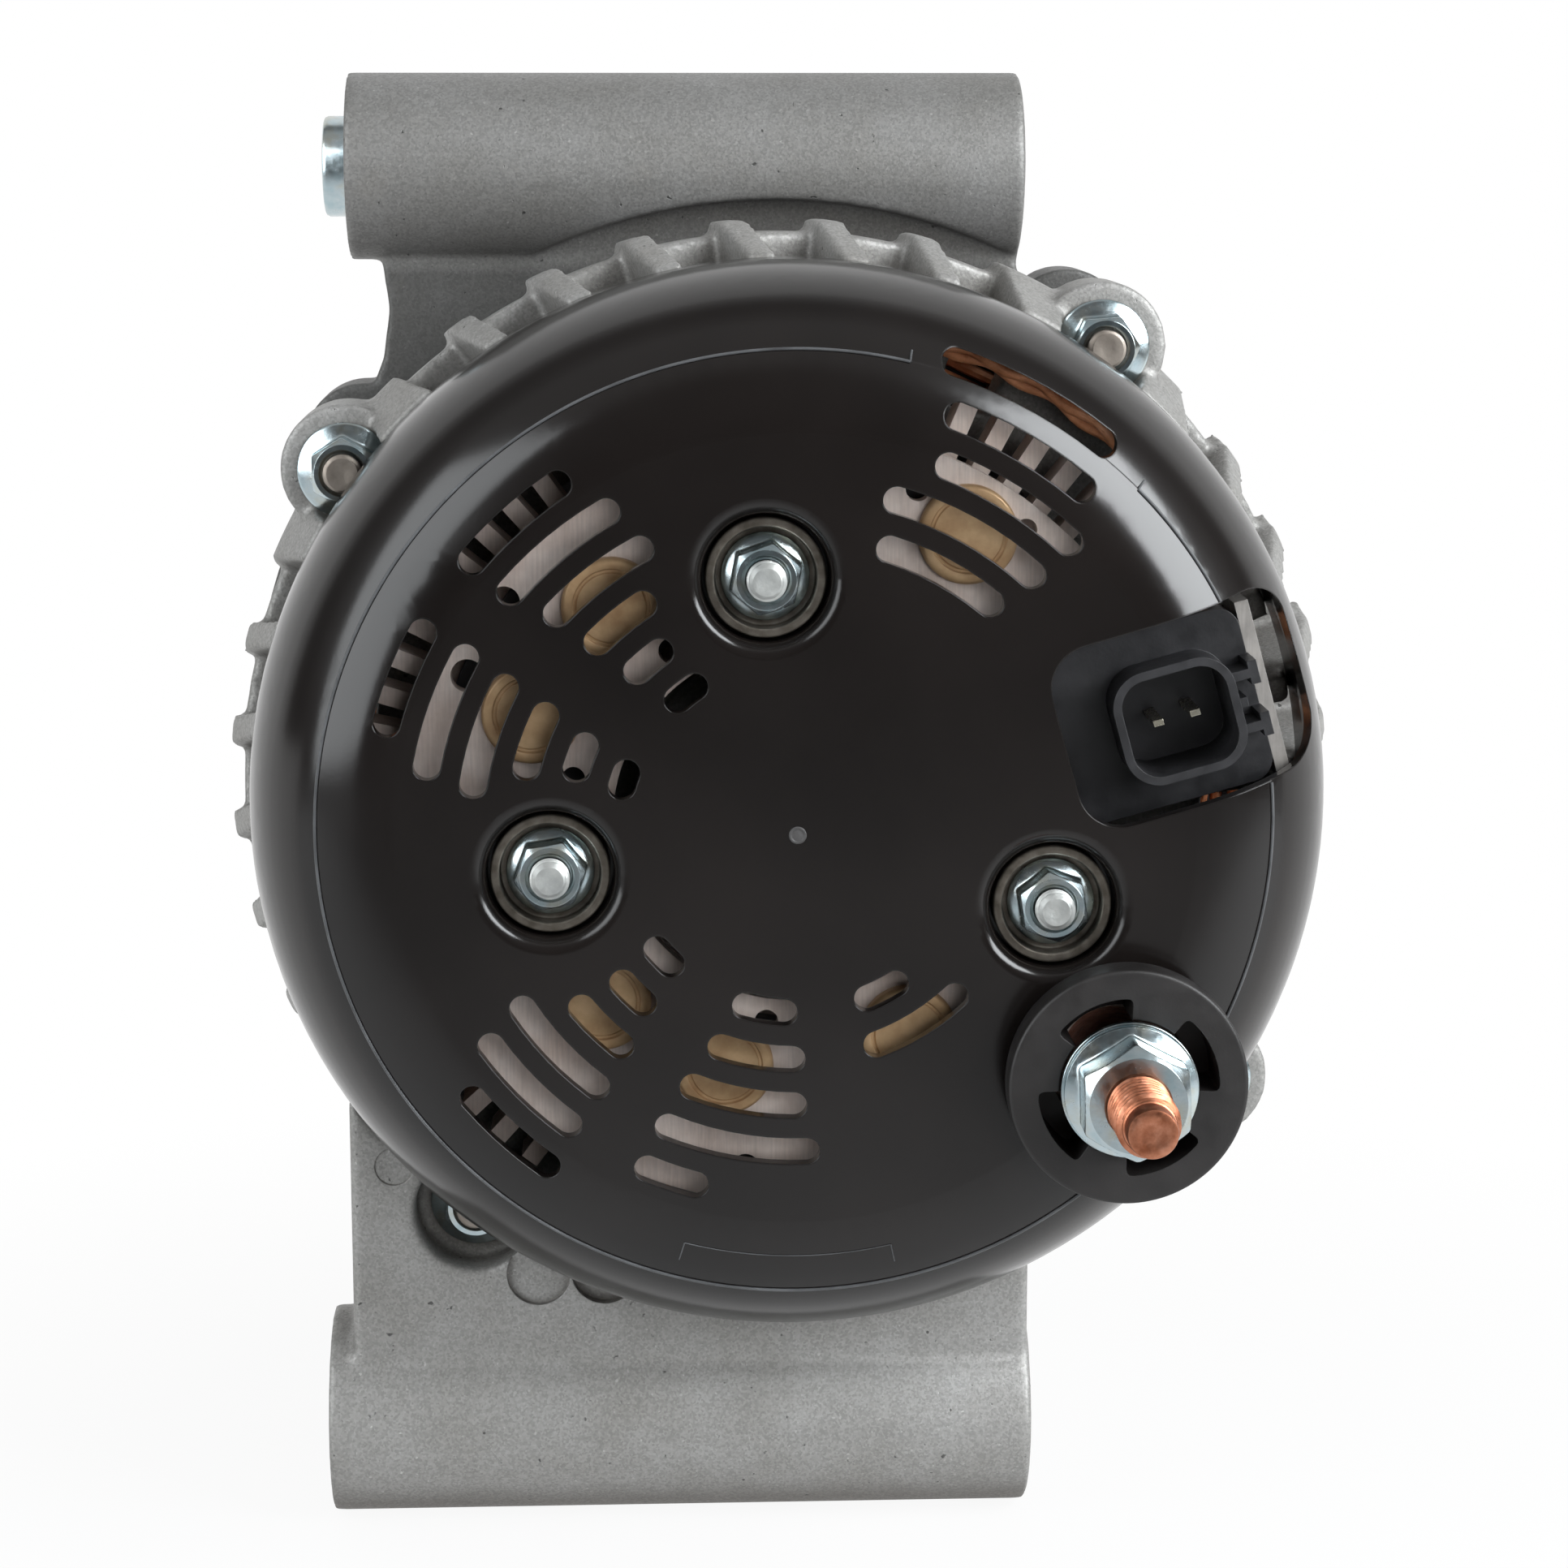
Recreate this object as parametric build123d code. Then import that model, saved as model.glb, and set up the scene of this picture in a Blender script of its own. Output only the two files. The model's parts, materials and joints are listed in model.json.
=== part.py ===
from build123d import *
import os
from math import asin, cos, degrees, radians, sin, tan

os.makedirs("parts", exist_ok=True)

# All sizes are in mm. While the pieces are made, Y runs along the shaft from the rear cover's
# flat face (y = 0) to the pulley, X runs to the right seen from the rear, and Z runs up.
# Angles are counted from +X towards +Z about the shaft.

# Fits
RUNNING = 0.05
CLEAR = 0.3
AIR_GAP = 0.4

# Stator core
CORE_R = 68.5
CORE_BORE_R = CORE_R - 16.5

# Rear cover
COVER_R = CORE_R + 1.5
COVER_FACE_R = COVER_R - 20.0
COVER_DOME = 24.0
COVER_DEPTH = 31.0
COVER_WALL = 2.0
COVER_STEP_R = COVER_R - 10.0
COVER_STEP = 0.5
COVER_SCALLOP_Y = COVER_DOME + 1.0
COVER_SCALLOP = 1.6
COVER_FIX = [(32.2, 96.9), (31.2, 189.2), (33.5, 343.5)]
WELL_R = 8.0
WELL_LIP = 2.0
WELL_FLOOR = 6.0
SLOT_WIDTH = 3.4
SLOT_PITCH = 0.0857 * COVER_R
# Each group of arc slots: its inner slot as a share of the cover's radius, then start and end angle of
# each slot outwards
GRILLE = [
    (0.534, [(48, 75), (46, 76), (45.5, 70), (49, 71), (50, 73)]),
    (0.324, [(120, 135), (123, 137), (120.5, 138), (116, 139), (118, 141), (122, 141)]),
    (0.324, [(155, 168), (153, 166), (151, 168), (150, 173), (149, 171), (149, 166)]),
    (0.324, [(215, 230), (217, 231), (216, 233), (210, 234), (212.6, 234), (217.5, 235)]),
    (0.324, [(249, 270), (247, 272), (245, 272), (244, 274), (244, 256)]),
    (0.324, [(288.5, 307), (287, 317)]),
]
WINDOW_ANGLE = 16.0
WINDOW_IN = 35.0
WINDOW_OUT = COVER_R - 2.7
WINDOW_WIDTH = 23.5
WINDOW_SHIFT = 1.0
WINDOW_CORNER = 5.5

# Cover fasteners: cup collars, flange nuts and studs
COLLAR_R = WELL_R - 0.5
COLLAR_WALL = 1.2
COLLAR_RIM_Y = 2.0
COLLAR_FLOOR = 1.5
STUD_R = 2.5
STUD_TIP_Y = -2.7
NUT_FLATS = 8.0
NUT_FLANGE_R = 5.5
NUT_FLANGE = 1.2
NUT_HEIGHT = 5.0

# Rectifier: plates stacked from the cover's wells towards the rear frame's wall
PLATE = 3.0
STACK_GAP = 2.0
POSITIVE_Y = WELL_FLOOR + COVER_WALL
BLOCK_Y = POSITIVE_Y + PLATE + STACK_GAP
NEGATIVE_Y = BLOCK_Y + PLATE + STACK_GAP
BOSS_HEIGHT = 7.0
BOSS_R = 5.5
PLATE_IN = 23.0
POSITIVE_OUT = 50.0
TAB_ROOT = POSITIVE_OUT - 5.0
TAB_SPAN = (-9.0, 8.0)
NEGATIVE_OUT = 49.5
PLATE_START = 43.0
PLATE_END = 332.0
COMB_OUT = 57.0
COMB_FINGER = 2.4
COMB_STEP = 5.2
COMB_BACK = 7.0
COMB_SPANS = [(46, 76), (116, 172), (207, 236)]
DIODE_R = 6.25
DIODE_LENGTH = 6.0
DIODE_STAND_OUT = 1.7
DIODE_LEAD_R = 0.6
POSITIVE_DIODES = [(42.5, 59.5), (36, 129.6), (36, 156.5), (33.4, 222.8), (32.6, 254), (31, 298)]
NEGATIVE_DIODES = [(42, 78), (40, 116), (38, 143), (36, 210), (36, 238.5), (34, 268)]
BUSHING_R = 4.0
BLOCK_SPAN = (57, 311)
BLOCK_IN = 27.0
BLOCK_OUT = 46.0
RECTIFIER_SCREW_AT = (44.0, 285.0)
RECTIFIER_HEAD_R = 4.4
RECTIFIER_HEAD = 3.0
PHASE_ANGLES = [108.0, 178.0, 278.0]
PHASE_LEAD_R = 1.1

# Output terminal
OUTPUT_AT = (51.1, 323.0)
OUTPUT_STUD_R = 4.0
OUTPUT_PITCH_R = 3.6
THREAD_BREAK = 0.2
OUTPUT_TIP_Y = -29.0
OUTPUT_POINT_R = 3.1
OUTPUT_POINT = 3.0
OUTPUT_COLLAR_R = 6.5
OUTPUT_FLATS = 13.0
OUTPUT_FLANGE_R = 8.3
OUTPUT_FLANGE = 2.0
OUTPUT_NUT = 7.6
WASHER_R = 8.6
WASHER = 0.9
INSULATOR_R = 15.0
INSULATOR_NECK_R = 12.0
INSULATOR_FACE_Y = -8.0
INSULATOR_FLANGE = 5.0
INSULATOR_BORE_R = 8.5
INSULATOR_SLOT_R = 10.8
INSULATOR_SLOT_DEPTH = 9.0
INSULATOR_SLOTS = [24.0, 115.0, 209.0, 296.0]
INSULATOR_SLOT_SPAN = 52.0
WASHER_SEAT_Y = INSULATOR_FACE_Y - 0.2

# Frames and stator along the shaft
WALL = 4.5
REAR_WALL_Y = NEGATIVE_Y + PLATE + BOSS_HEIGHT
STATOR_REAR_Y = REAR_WALL_Y + 22.0
CORE_LENGTH = 26.0
STATOR_FRONT_Y = STATOR_REAR_Y + CORE_LENGTH
FRONT_WALL_Y = STATOR_FRONT_Y + 14.0
RING_LENGTH = 6.0
LIP_Y = COVER_DEPTH + 0.4
BOLT_SEAT_Y = STATOR_REAR_Y - 12.0
BOLT_TIP_Y = LIP_Y + 0.2
BOLT_HEAD_Y = STATOR_FRONT_Y + 12.0

# Stator winding
SLOT_IN_R = CORE_BORE_R + 2.2
SLOT_OUT_R = CORE_R - 6.3
CORE_SLOT = 3.4
CORE_OPENING = 1.5
BAR_WIDTH = 2.6
END_IN_R = SLOT_IN_R + 0.4
END_OUT_R = SLOT_OUT_R + 1.2
END_GAP = 1.0
PHASE_INSET = 3.4
PHASE_R = END_IN_R + PHASE_INSET
END_REAR = 8.5
END_FRONT = 9.0

# Frames across the shaft
FRAME_R = CORE_R + 6.0
FRAME_RING_R = CORE_R + 4.3
FRAME_IN_R = END_OUT_R + 1.9
WALL_R = COVER_R - COVER_WALL - 0.4
HUB_WALL = 4.0
RIB_COUNT = 36
RIB_SHARE = 0.32
RIB_LEAN = 14.0
VENT_IN_R = CORE_BORE_R + 3.0
INLET_OUT_R = CORE_BORE_R - 2.0
INLET_COUNT = 8
INLET_SHARE = 0.72
BOLT_ANGLES = [54.0, 144.0, 234.0, 324.0]
BOLT_R = 2.5
BOLT_CIRCLE_R = CORE_R + BOLT_R + 0.5
BOLT_NUT_FLANGE_R = 6.25
EAR_R = 8.6
POCKET_R = 8.2

# Lower mounting bar on the rear frame, whose bore is the origin of the finished part
PIVOT_Y = STATOR_REAR_Y - 8.0
PIVOT_DROP = FRAME_R + 14.4
PIVOT_BORE_R = 5.25
PIVOT_BAR_R = 14.1
PIVOT_BAR_LEFT = -62.2
PIVOT_BAR_RIGHT = 33.5
BRACKET_LEFT = -58.8
BRACKET_RIGHT = 33.1
BRACKET_REAR_Y = LIP_Y + 0.2
BRACKET_FRONT_Y = STATOR_REAR_Y - 3.0
BRACKET_TOP = 42.0
EJECTOR_MARKS = [(-52.9, -51.4, 2.5), (-33.6, -66.8, 4.0)]
EJECTOR_DEPTH = 0.5

# Upper mounting bar on the front frame, with its sliding steel bush
TOP_Y = STATOR_FRONT_Y + 4.0
TOP_Z = FRAME_R + 6.3
TOP_BAR_R = 13.0
TOP_BAR_LEFT = -59.4
TOP_BAR_RIGHT = 35.0
TOP_BORE_R = 5.5
ARCH_R = FRAME_R + 1.9
WEB = [(-55.5, 72), (-54, 61), (-55, 54), (-57, 49), (-46, 48), (-20, 66), (25, 66), (36, 58), (34, 72)]
BUSH_R = 7.0
BUSH_BORE_R = 5.2
BUSH_LENGTH = 20.0
BUSH_STAND_OUT = 3.4
BUSH_TRAVEL = 3.0

# Bearings: bore radius, outer radius, ball circle radius, ball radius, ball count
SHAFT_REAR_R = 7.5
SHAFT_FRONT_R = 8.5
REAR_BEARING = (SHAFT_REAR_R, 16.0, 11.75, 2.5, 8)
FRONT_BEARING = (SHAFT_FRONT_R, 20.0, 14.25, 3.4, 8)
REAR_BEARING_Y = (REAR_WALL_Y - 1.0, REAR_WALL_Y + 8.0)
FRONT_BEARING_Y = (FRONT_WALL_Y - 0.5, FRONT_WALL_Y + 11.5)
BEARING_LIP = 2.0
HUB_REAR_Y = REAR_BEARING_Y[0] - BEARING_LIP
INLET_IN_R = FRONT_BEARING[1] + HUB_WALL + 0.5
SCREW_R = 1.75
RETAINER = 1.5
RETAINER_LAP = 3.0
RETAINER_SCREW = 5.0
RETAINER_ANGLES = [45.0, 135.0, 225.0, 315.0]
RETAINER_R = FRONT_BEARING[1] + 4.0

# Rotor
POLE_PAIRS = 6
POLE_ROOT = 26.0
POLE_TIP = 9.0
POLE_DISC = 8.0
POLE_INNER_R = 0.8 * CORE_BORE_R
POLE_TIP_R = CORE_BORE_R - 6.0
POLE_DISC_R = 0.73 * CORE_BORE_R
POLE_END_GAP = 1.0
ROTOR_OVERHANG = 1.0
ROTOR_REAR_Y = STATOR_REAR_Y - ROTOR_OVERHANG
ROTOR_LENGTH = CORE_LENGTH + 2 * ROTOR_OVERHANG
COIL_R = POLE_INNER_R - 2.8
BOBBIN_WALL = 1.2
SHAFT_SLEEVE_R = 4.5
SHAFT_POLE_R = 9.5
BOBBIN_R = SHAFT_POLE_R + 0.36 * (COIL_R - SHAFT_POLE_R)
SLIP_RING = 6.0
SLIP_RING_Y = [REAR_WALL_Y - 17.8, REAR_WALL_Y - 10.4]
SLEEVE_R = 6.2
RING_R = 7.2
SHAFT_REAR_Y = SLIP_RING_Y[0] - 1.2
SHAFT_STEP_Y = REAR_BEARING_Y[0] - 3.0
FAN_R = CORE_BORE_R - 5.0
FAN_HUB_R = 0.575 * FAN_R
FAN_PLATE = 1.4
FAN_BLADE = 7.0
FAN_BLADES = 11
FAN_LEAN = 14.0

# Pulley
PULLEY_R = 27.5
PULLEY_REAR_Y = FRONT_BEARING_Y[1] + BEARING_LIP
PULLEY_GROOVES = 6
GROOVE_PITCH = 3.56
GROOVE_DEPTH = 2.6
GROOVE_FLAT = 0.3
PULLEY_EDGE = 2.2
PULLEY_RIM = 6.0
PULLEY_DISH = 9.0
PULLEY_HUB_R = 15.0
SPACER_WALL = 3.5
PULLEY_LENGTH = PULLEY_GROOVES * GROOVE_PITCH + 2 * PULLEY_EDGE
PULLEY_NUT_FLATS = 24.0
PULLEY_NUT = 8.0
SHAFT_FRONT_Y = PULLEY_REAR_Y + PULLEY_LENGTH + PULLEY_NUT + 1.8

# Brushes and their holder
BRUSH_WIDE = 6.5
BRUSH_THICK = 4.8
BRUSH_LENGTH = 10.0
BRUSH_TRAVEL = 3.0
SPRING_CLOSED = 3.6
SPRING_R = 1.8
SPRING_WIRE = 0.35
HOLDER_SIDE = 2.0
HOLDER_LID = 1.2
HOLDER_BOTTOM = RING_R + 1.4
HOLDER_ROOF = RING_R + BRUSH_LENGTH + BRUSH_TRAVEL + SPRING_CLOSED
HOLDER_TOP = HOLDER_ROOF + HOLDER_LID

# Regulator with its connector
REGULATOR_ANGLE = 15.4
REGULATOR_IN = 22.0
REGULATOR_OUT = WALL_R - 6.6
REGULATOR_HALF = 11.5
REGULATOR_SINK_Y = REAR_WALL_Y - 6.0
REGULATOR_Y = REGULATOR_SINK_Y - 11.0
REGULATOR_SCREWS = [(REGULATOR_IN + 4.5, 4.5 - REGULATOR_HALF), (REGULATOR_IN + 4.5, REGULATOR_HALF - 4.5)]
SINK_FIN = 1.4
SINK_CHANNELS = 6
SINK_CHANNEL = 24.0
SINK_RIM = 1.8
SOCKET_INSET = 11.0
SOCKET_R = REGULATOR_OUT - SOCKET_INSET
SOCKET_LONG = 15.8
SOCKET_SHORT = 14.7
SOCKET_WALL = 1.1
SOCKET_CORNER = 4.6
SOCKET_MOUTH_Y = 4.0
SOCKET_DEPTH = 12.0
LOCK_RIB = 1.2
LOCK_HEAD = 3.0
LOCK_RIBS = [(3.4, 3.2), (0.0, 1.6), (-3.4, 3.2)]
BLADE_PITCH = 4.8
BLADE_WIDE = 1.3
BLADE_THICK = 0.8
BLADE_STAND = 9.0

PIECES = Pos(0, -PIVOT_Y, PIVOT_DROP)


def save(node, *shapes):
    """Writes one node; separate solids in it stay separate."""
    solids = [PIECES * solid for shape in shapes for solid in shape.solids()]
    whole = solids[0] if len(solids) == 1 else Compound(children=solids)
    export_step(whole, f"parts/{node}.step")


def polar(radius, angle):
    """A place in the plane square to the shaft."""
    return Pos(radius * cos(radians(angle)), 0, radius * sin(radians(angle)))


def around(angle):
    """A turn about the shaft, from +X towards +Z."""
    return Rot(0, -angle, 0)


def every(shape, count, start=0.0):
    """Copies of a shape, evenly spaced about the shaft."""
    return [around(start + 360 * turn / count) * shape for turn in range(count)]


def disc(radius, rear, front):
    """A round bar along the shaft's direction."""
    bar = Cylinder(radius, front - rear, align=(Align.CENTER, Align.CENTER, Align.MIN))
    return Pos(0, rear, 0) * Rot(-90, 0, 0) * bar


def ring(inner, outer, rear, front):
    return disc(outer, rear, front) - disc(inner, rear, front)


def turned(*points):
    """The solid swept about the shaft by an outline of (radius, y) points."""
    return revolve(make_face(Polyline(*points, close=True)), Axis.Y)


def slab(sketch, rear, front):
    """A sketch in the plane square to the shaft, seen from the rear, made thick."""
    plane = Plane((0, front, 0), x_dir=(1, 0, 0), z_dir=(0, -1, 0))
    return extrude(plane * sketch, front - rear)


def sector(inner, outer, start, end):
    """A sketch of a part of a flat ring."""
    far = CenterArc((0, 0), outer, start, end - start)
    near = CenterArc((0, 0), inner, start, end - start)
    return make_face(Curve() + [far, Line(near @ 0, far @ 0), near, Line(near @ 1, far @ 1)])


def spot(radius, angle):
    """A place in a sketch, with its X axis pointing away from the shaft."""
    return Rot(0, 0, angle) * Pos(radius, 0)


def beam(radius, left, right, y, z):
    """A round bar along X."""
    bar = Cylinder(radius, right - left, align=(Align.CENTER, Align.CENTER, Align.MIN))
    return Pos(left, y, z) * Rot(0, 90, 0) * bar


def hexagon(flats, rear, front):
    return slab(RegularPolygon(flats / 2, 6, major_radius=False, rotation=30), rear, front)


def flange_nut(flats, flange_r, flange, height, bore, seat):
    """A hexagon nut with a round flange, which seats facing the pulley."""
    corner = flats / 2 / cos(radians(30))
    crown = turned((0, seat - height), (flats / 2, seat - height), (corner, seat - height + flats / 12),
                   (corner, seat), (0, seat))
    nut = hexagon(flats, seat - height, seat - flange / 2) & crown
    nut += turned((0, seat - 1.5 * flange), (flats / 2, seat - 1.5 * flange), (flange_r, seat - flange / 2),
                  (flange_r, seat), (0, seat))
    return nut - disc(bore, seat - 2 * height, seat + flange)


def stud(radius, rear, front):
    """A round pin with a chamfered rear end."""
    edge = 0.16 * radius
    return turned((0, rear), (radius - edge, rear), (radius, rear + edge), (radius, front), (0, front))


# Rear cover

def dome(inset):
    """The cover's outer form, or its hollow where inset is the wall."""
    reach = COVER_R - COVER_FACE_R - inset
    bulge = EllipticalCenterArc((COVER_FACE_R, COVER_DOME), reach, COVER_DOME - inset, 270, arc_size=90)
    end = COVER_DEPTH + (1 if inset else 0)
    face = Line((0, inset), (COVER_FACE_R, inset))
    skirt = Polyline((COVER_R - inset, COVER_DOME), (COVER_R - inset, end), (0, end), (0, inset))
    return revolve(make_face(Curve() + [face, bulge, *skirt.edges()]), Axis.Y)


def grille():
    """All the arc slots, as one list of sketches."""
    slots = []
    for first, spans in GRILLE:
        for row, (start, end) in enumerate(spans):
            radius = first * COVER_R + row * SLOT_PITCH
            cap = degrees(asin(SLOT_WIDTH / 2 / radius))
            arc = CenterArc((0, 0), radius, start + cap, end - start - 2 * cap)
            slots.append(SlotArc(arc, SLOT_WIDTH))
    return slots


def window():
    """The opening for the connector, square to a radius of the cover."""
    long = WINDOW_OUT - WINDOW_IN
    outline = RectangleRounded(long, WINDOW_WIDTH, WINDOW_CORNER)
    return spot(0, WINDOW_ANGLE) * Pos(WINDOW_IN + long / 2, WINDOW_SHIFT) * outline


def well_hollow():
    """The space in one well, with the rounded lip at the cover's face."""
    lip = RadiusArc((WELL_R + WELL_LIP, 0), (WELL_R, WELL_LIP), WELL_LIP)
    rest = Polyline((WELL_R, WELL_LIP), (WELL_R, WELL_FLOOR), (0, WELL_FLOOR), (0, 0),
                    (WELL_R + WELL_LIP, 0))
    return revolve(make_face(Curve() + [lip, *rest.edges()]), Axis.Y)


def rear_cover():
    shell = dome(0) - dome(COVER_WALL)
    shoulder = ring(COVER_STEP_R, COVER_R + 1, -1, COVER_DOME)
    shell -= shoulder - Pos(0, COVER_STEP, 0) * dome(0)
    for fix in COVER_FIX:
        shell += polar(*fix) * disc(WELL_R + COVER_WALL, COVER_WALL / 2, WELL_FLOOR + COVER_WALL)
    deep = COVER_DOME / 2
    shell -= [slab(slot, -1, deep) for slot in grille()]
    shell -= slab(window(), -1, COVER_DOME)
    for fix in COVER_FIX:
        shell -= polar(*fix) * well_hollow()
        shell -= polar(*fix) * disc(STUD_R + CLEAR, 0, WELL_FLOOR + COVER_WALL)
    shell -= polar(*OUTPUT_AT) * disc(INSULATOR_NECK_R + CLEAR, -1, COVER_DOME)
    bite = polar(COVER_R + POCKET_R - COVER_SCALLOP, BOLT_ANGLES[2])
    return shell - bite * disc(POCKET_R, COVER_SCALLOP_Y, COVER_DEPTH + 1)


def cover_collar(fix):
    """A drawn steel cup that carries the nut's load through the plastic."""
    cup = ring(COLLAR_R - COLLAR_WALL, COLLAR_R, COLLAR_RIM_Y, WELL_FLOOR)
    cup += ring(STUD_R + CLEAR, COLLAR_R, WELL_FLOOR - COLLAR_FLOOR, WELL_FLOOR)
    return polar(*fix) * cup


def cover_nut(fix):
    seat = WELL_FLOOR - COLLAR_FLOOR
    nut = flange_nut(NUT_FLATS, NUT_FLANGE_R, NUT_FLANGE, NUT_HEIGHT, STUD_R + RUNNING, seat)
    return polar(*fix) * nut


def on_plates(fix):
    """Whether a cover stud passes through the rectifier's plates."""
    return PLATE_START < fix[1] < PLATE_END


def boss_top(fix):
    """Where the rear frame's boss ends: under the plates, or under the cover beyond them."""
    return NEGATIVE_Y + PLATE if on_plates(fix) else POSITIVE_Y


def cover_stud(fix):
    return polar(*fix) * stud(STUD_R, STUD_TIP_Y, REAR_WALL_Y)


# Output terminal

def output_insulator():
    body = ring(INSULATOR_BORE_R, INSULATOR_R, INSULATOR_FACE_Y, INSULATOR_FACE_Y + INSULATOR_FLANGE)
    body += ring(INSULATOR_BORE_R, INSULATOR_NECK_R, INSULATOR_FACE_Y, POSITIVE_Y)
    for angle in INSULATOR_SLOTS:
        gap = sector(INSULATOR_BORE_R - 1, INSULATOR_SLOT_R,
                     angle - INSULATOR_SLOT_SPAN / 2, angle + INSULATOR_SLOT_SPAN / 2)
        body -= slab(gap, INSULATOR_FACE_Y - 1, INSULATOR_FACE_Y + INSULATOR_SLOT_DEPTH)
    return polar(*OUTPUT_AT) * body


def output_stud():
    """A plated bolt with a dog point; its collar carries the washer clear of the plastic."""
    point = OUTPUT_TIP_Y + OUTPUT_POINT
    seat = POSITIVE_Y + PLATE
    free = WASHER_SEAT_Y - WASHER - OUTPUT_NUT - THREAD_BREAK
    bolt = turned((0, OUTPUT_TIP_Y), (OUTPUT_POINT_R, OUTPUT_TIP_Y), (OUTPUT_POINT_R, point),
                  (OUTPUT_STUD_R, point + OUTPUT_STUD_R - OUTPUT_POINT_R), (OUTPUT_STUD_R, free),
                  (OUTPUT_PITCH_R, free), (OUTPUT_PITCH_R, seat), (0, seat))
    return polar(*OUTPUT_AT) * (bolt + disc(OUTPUT_COLLAR_R, WASHER_SEAT_Y, POSITIVE_Y))


def output_washer():
    washer = ring(OUTPUT_STUD_R + CLEAR, WASHER_R, WASHER_SEAT_Y - WASHER, WASHER_SEAT_Y)
    return polar(*OUTPUT_AT) * washer


def output_nut():
    nut = flange_nut(OUTPUT_FLATS, OUTPUT_FLANGE_R, OUTPUT_FLANGE, OUTPUT_NUT,
                     OUTPUT_PITCH_R + RUNNING, WASHER_SEAT_Y - WASHER)
    return polar(*OUTPUT_AT) * nut


# Rectifier

def plate_cuts(sketch, hole):
    """Takes the brush holder's gap and the fastener holes out of a plate."""
    half = BRUSH_WIDE / 2 + HOLDER_SIDE + 1
    sketch -= Pos(0, HOLDER_TOP / 2) * Rectangle(2 * half, HOLDER_TOP + 2)
    for place in COVER_FIX + [RECTIFIER_SCREW_AT]:
        sketch -= spot(*place) * Circle(hole)
    return sketch


def positive_heatsink():
    plate = plate_cuts(sector(PLATE_IN, POSITIVE_OUT, PLATE_START, PLATE_END), BUSHING_R)
    for place in POSITIVE_DIODES:
        plate -= spot(*place) * Circle(DIODE_R)
    reach, angle = OUTPUT_AT
    tab = sector(TAB_ROOT, reach + 2 * OUTPUT_STUD_R, angle + TAB_SPAN[0], angle + TAB_SPAN[1])
    plate = plate + tab - spot(*OUTPUT_AT) * Circle(OUTPUT_PITCH_R)
    return slab(plate, POSITIVE_Y, POSITIVE_Y + PLATE)


def negative_heatsink():
    """A horseshoe plate whose outer edge stands up as a comb of cooling fingers."""
    plate = plate_cuts(sector(PLATE_IN, NEGATIVE_OUT, PLATE_START, PLATE_END), STUD_R + CLEAR)
    for place in NEGATIVE_DIODES:
        plate -= spot(*place) * Circle(DIODE_R)
    face = NEGATIVE_Y + PLATE
    body = slab(plate, NEGATIVE_Y, face)
    step = degrees(COMB_STEP / COMB_OUT)
    root = NEGATIVE_OUT - 1
    finger = Pos((root + COMB_OUT) / 2, 0) * Rectangle(COMB_OUT - root, COMB_FINGER)
    for start, end in COMB_SPANS:
        count = int((end - start) / step) + 1
        comb = [Rot(0, 0, start + step * turn) * finger for turn in range(count)]
        body += [slab(tooth, face - COMB_BACK, face) for tooth in comb]
    return body


def diode(place, rear, lead_rear, lead_front):
    """A pressed can with its lead, which ends on the terminal block."""
    can = disc(DIODE_R, rear, rear + DIODE_LENGTH)
    return polar(*place) * (can + disc(DIODE_LEAD_R, lead_rear, lead_front))


def positive_diode(place):
    rear = POSITIVE_Y - DIODE_STAND_OUT
    return diode(place, rear, rear + DIODE_LENGTH, BLOCK_Y)


def negative_diode(place):
    rear = NEGATIVE_Y - DIODE_STAND_OUT
    return diode(place, rear, BLOCK_Y + PLATE, rear)


def terminal_block():
    """The moulding that spaces the two plates and carries the phase terminals."""
    block = slab(sector(BLOCK_IN, BLOCK_OUT, *BLOCK_SPAN), BLOCK_Y, BLOCK_Y + PLATE)
    arm = sector(BLOCK_OUT - 2, PHASE_R + 3, -4.5, 4.5) - Pos(PHASE_R, 0) * Circle(PHASE_LEAD_R)
    for angle in PHASE_ANGLES:
        block += slab(Rot(0, 0, angle) * arm, BLOCK_Y, BLOCK_Y + PLATE)
    places = [fix for fix in COVER_FIX if on_plates(fix)] + [RECTIFIER_SCREW_AT]
    for place in places:
        block += polar(*place) * disc(BOSS_R, POSITIVE_Y + PLATE, NEGATIVE_Y)
        block += polar(*place) * disc(BUSHING_R, POSITIVE_Y, NEGATIVE_Y)
    for place in places:
        block -= polar(*place) * disc(STUD_R + CLEAR, 0, REAR_WALL_Y)
    return block


def rectifier_screw():
    screw = stud(STUD_R, POSITIVE_Y - RECTIFIER_HEAD, REAR_WALL_Y)
    screw += disc(RECTIFIER_HEAD_R, POSITIVE_Y - RECTIFIER_HEAD, POSITIVE_Y)
    socket = hexagon(RECTIFIER_HEAD_R, 0, POSITIVE_Y - 0.4 * RECTIFIER_HEAD)
    return polar(*RECTIFIER_SCREW_AT) * (screw - socket)


# Regulator

def on_regulator(x, y=0.0):
    """A place in a sketch whose X axis is the regulator's long one."""
    return Rot(0, 0, REGULATOR_ANGLE) * Pos(x, y)


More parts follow.
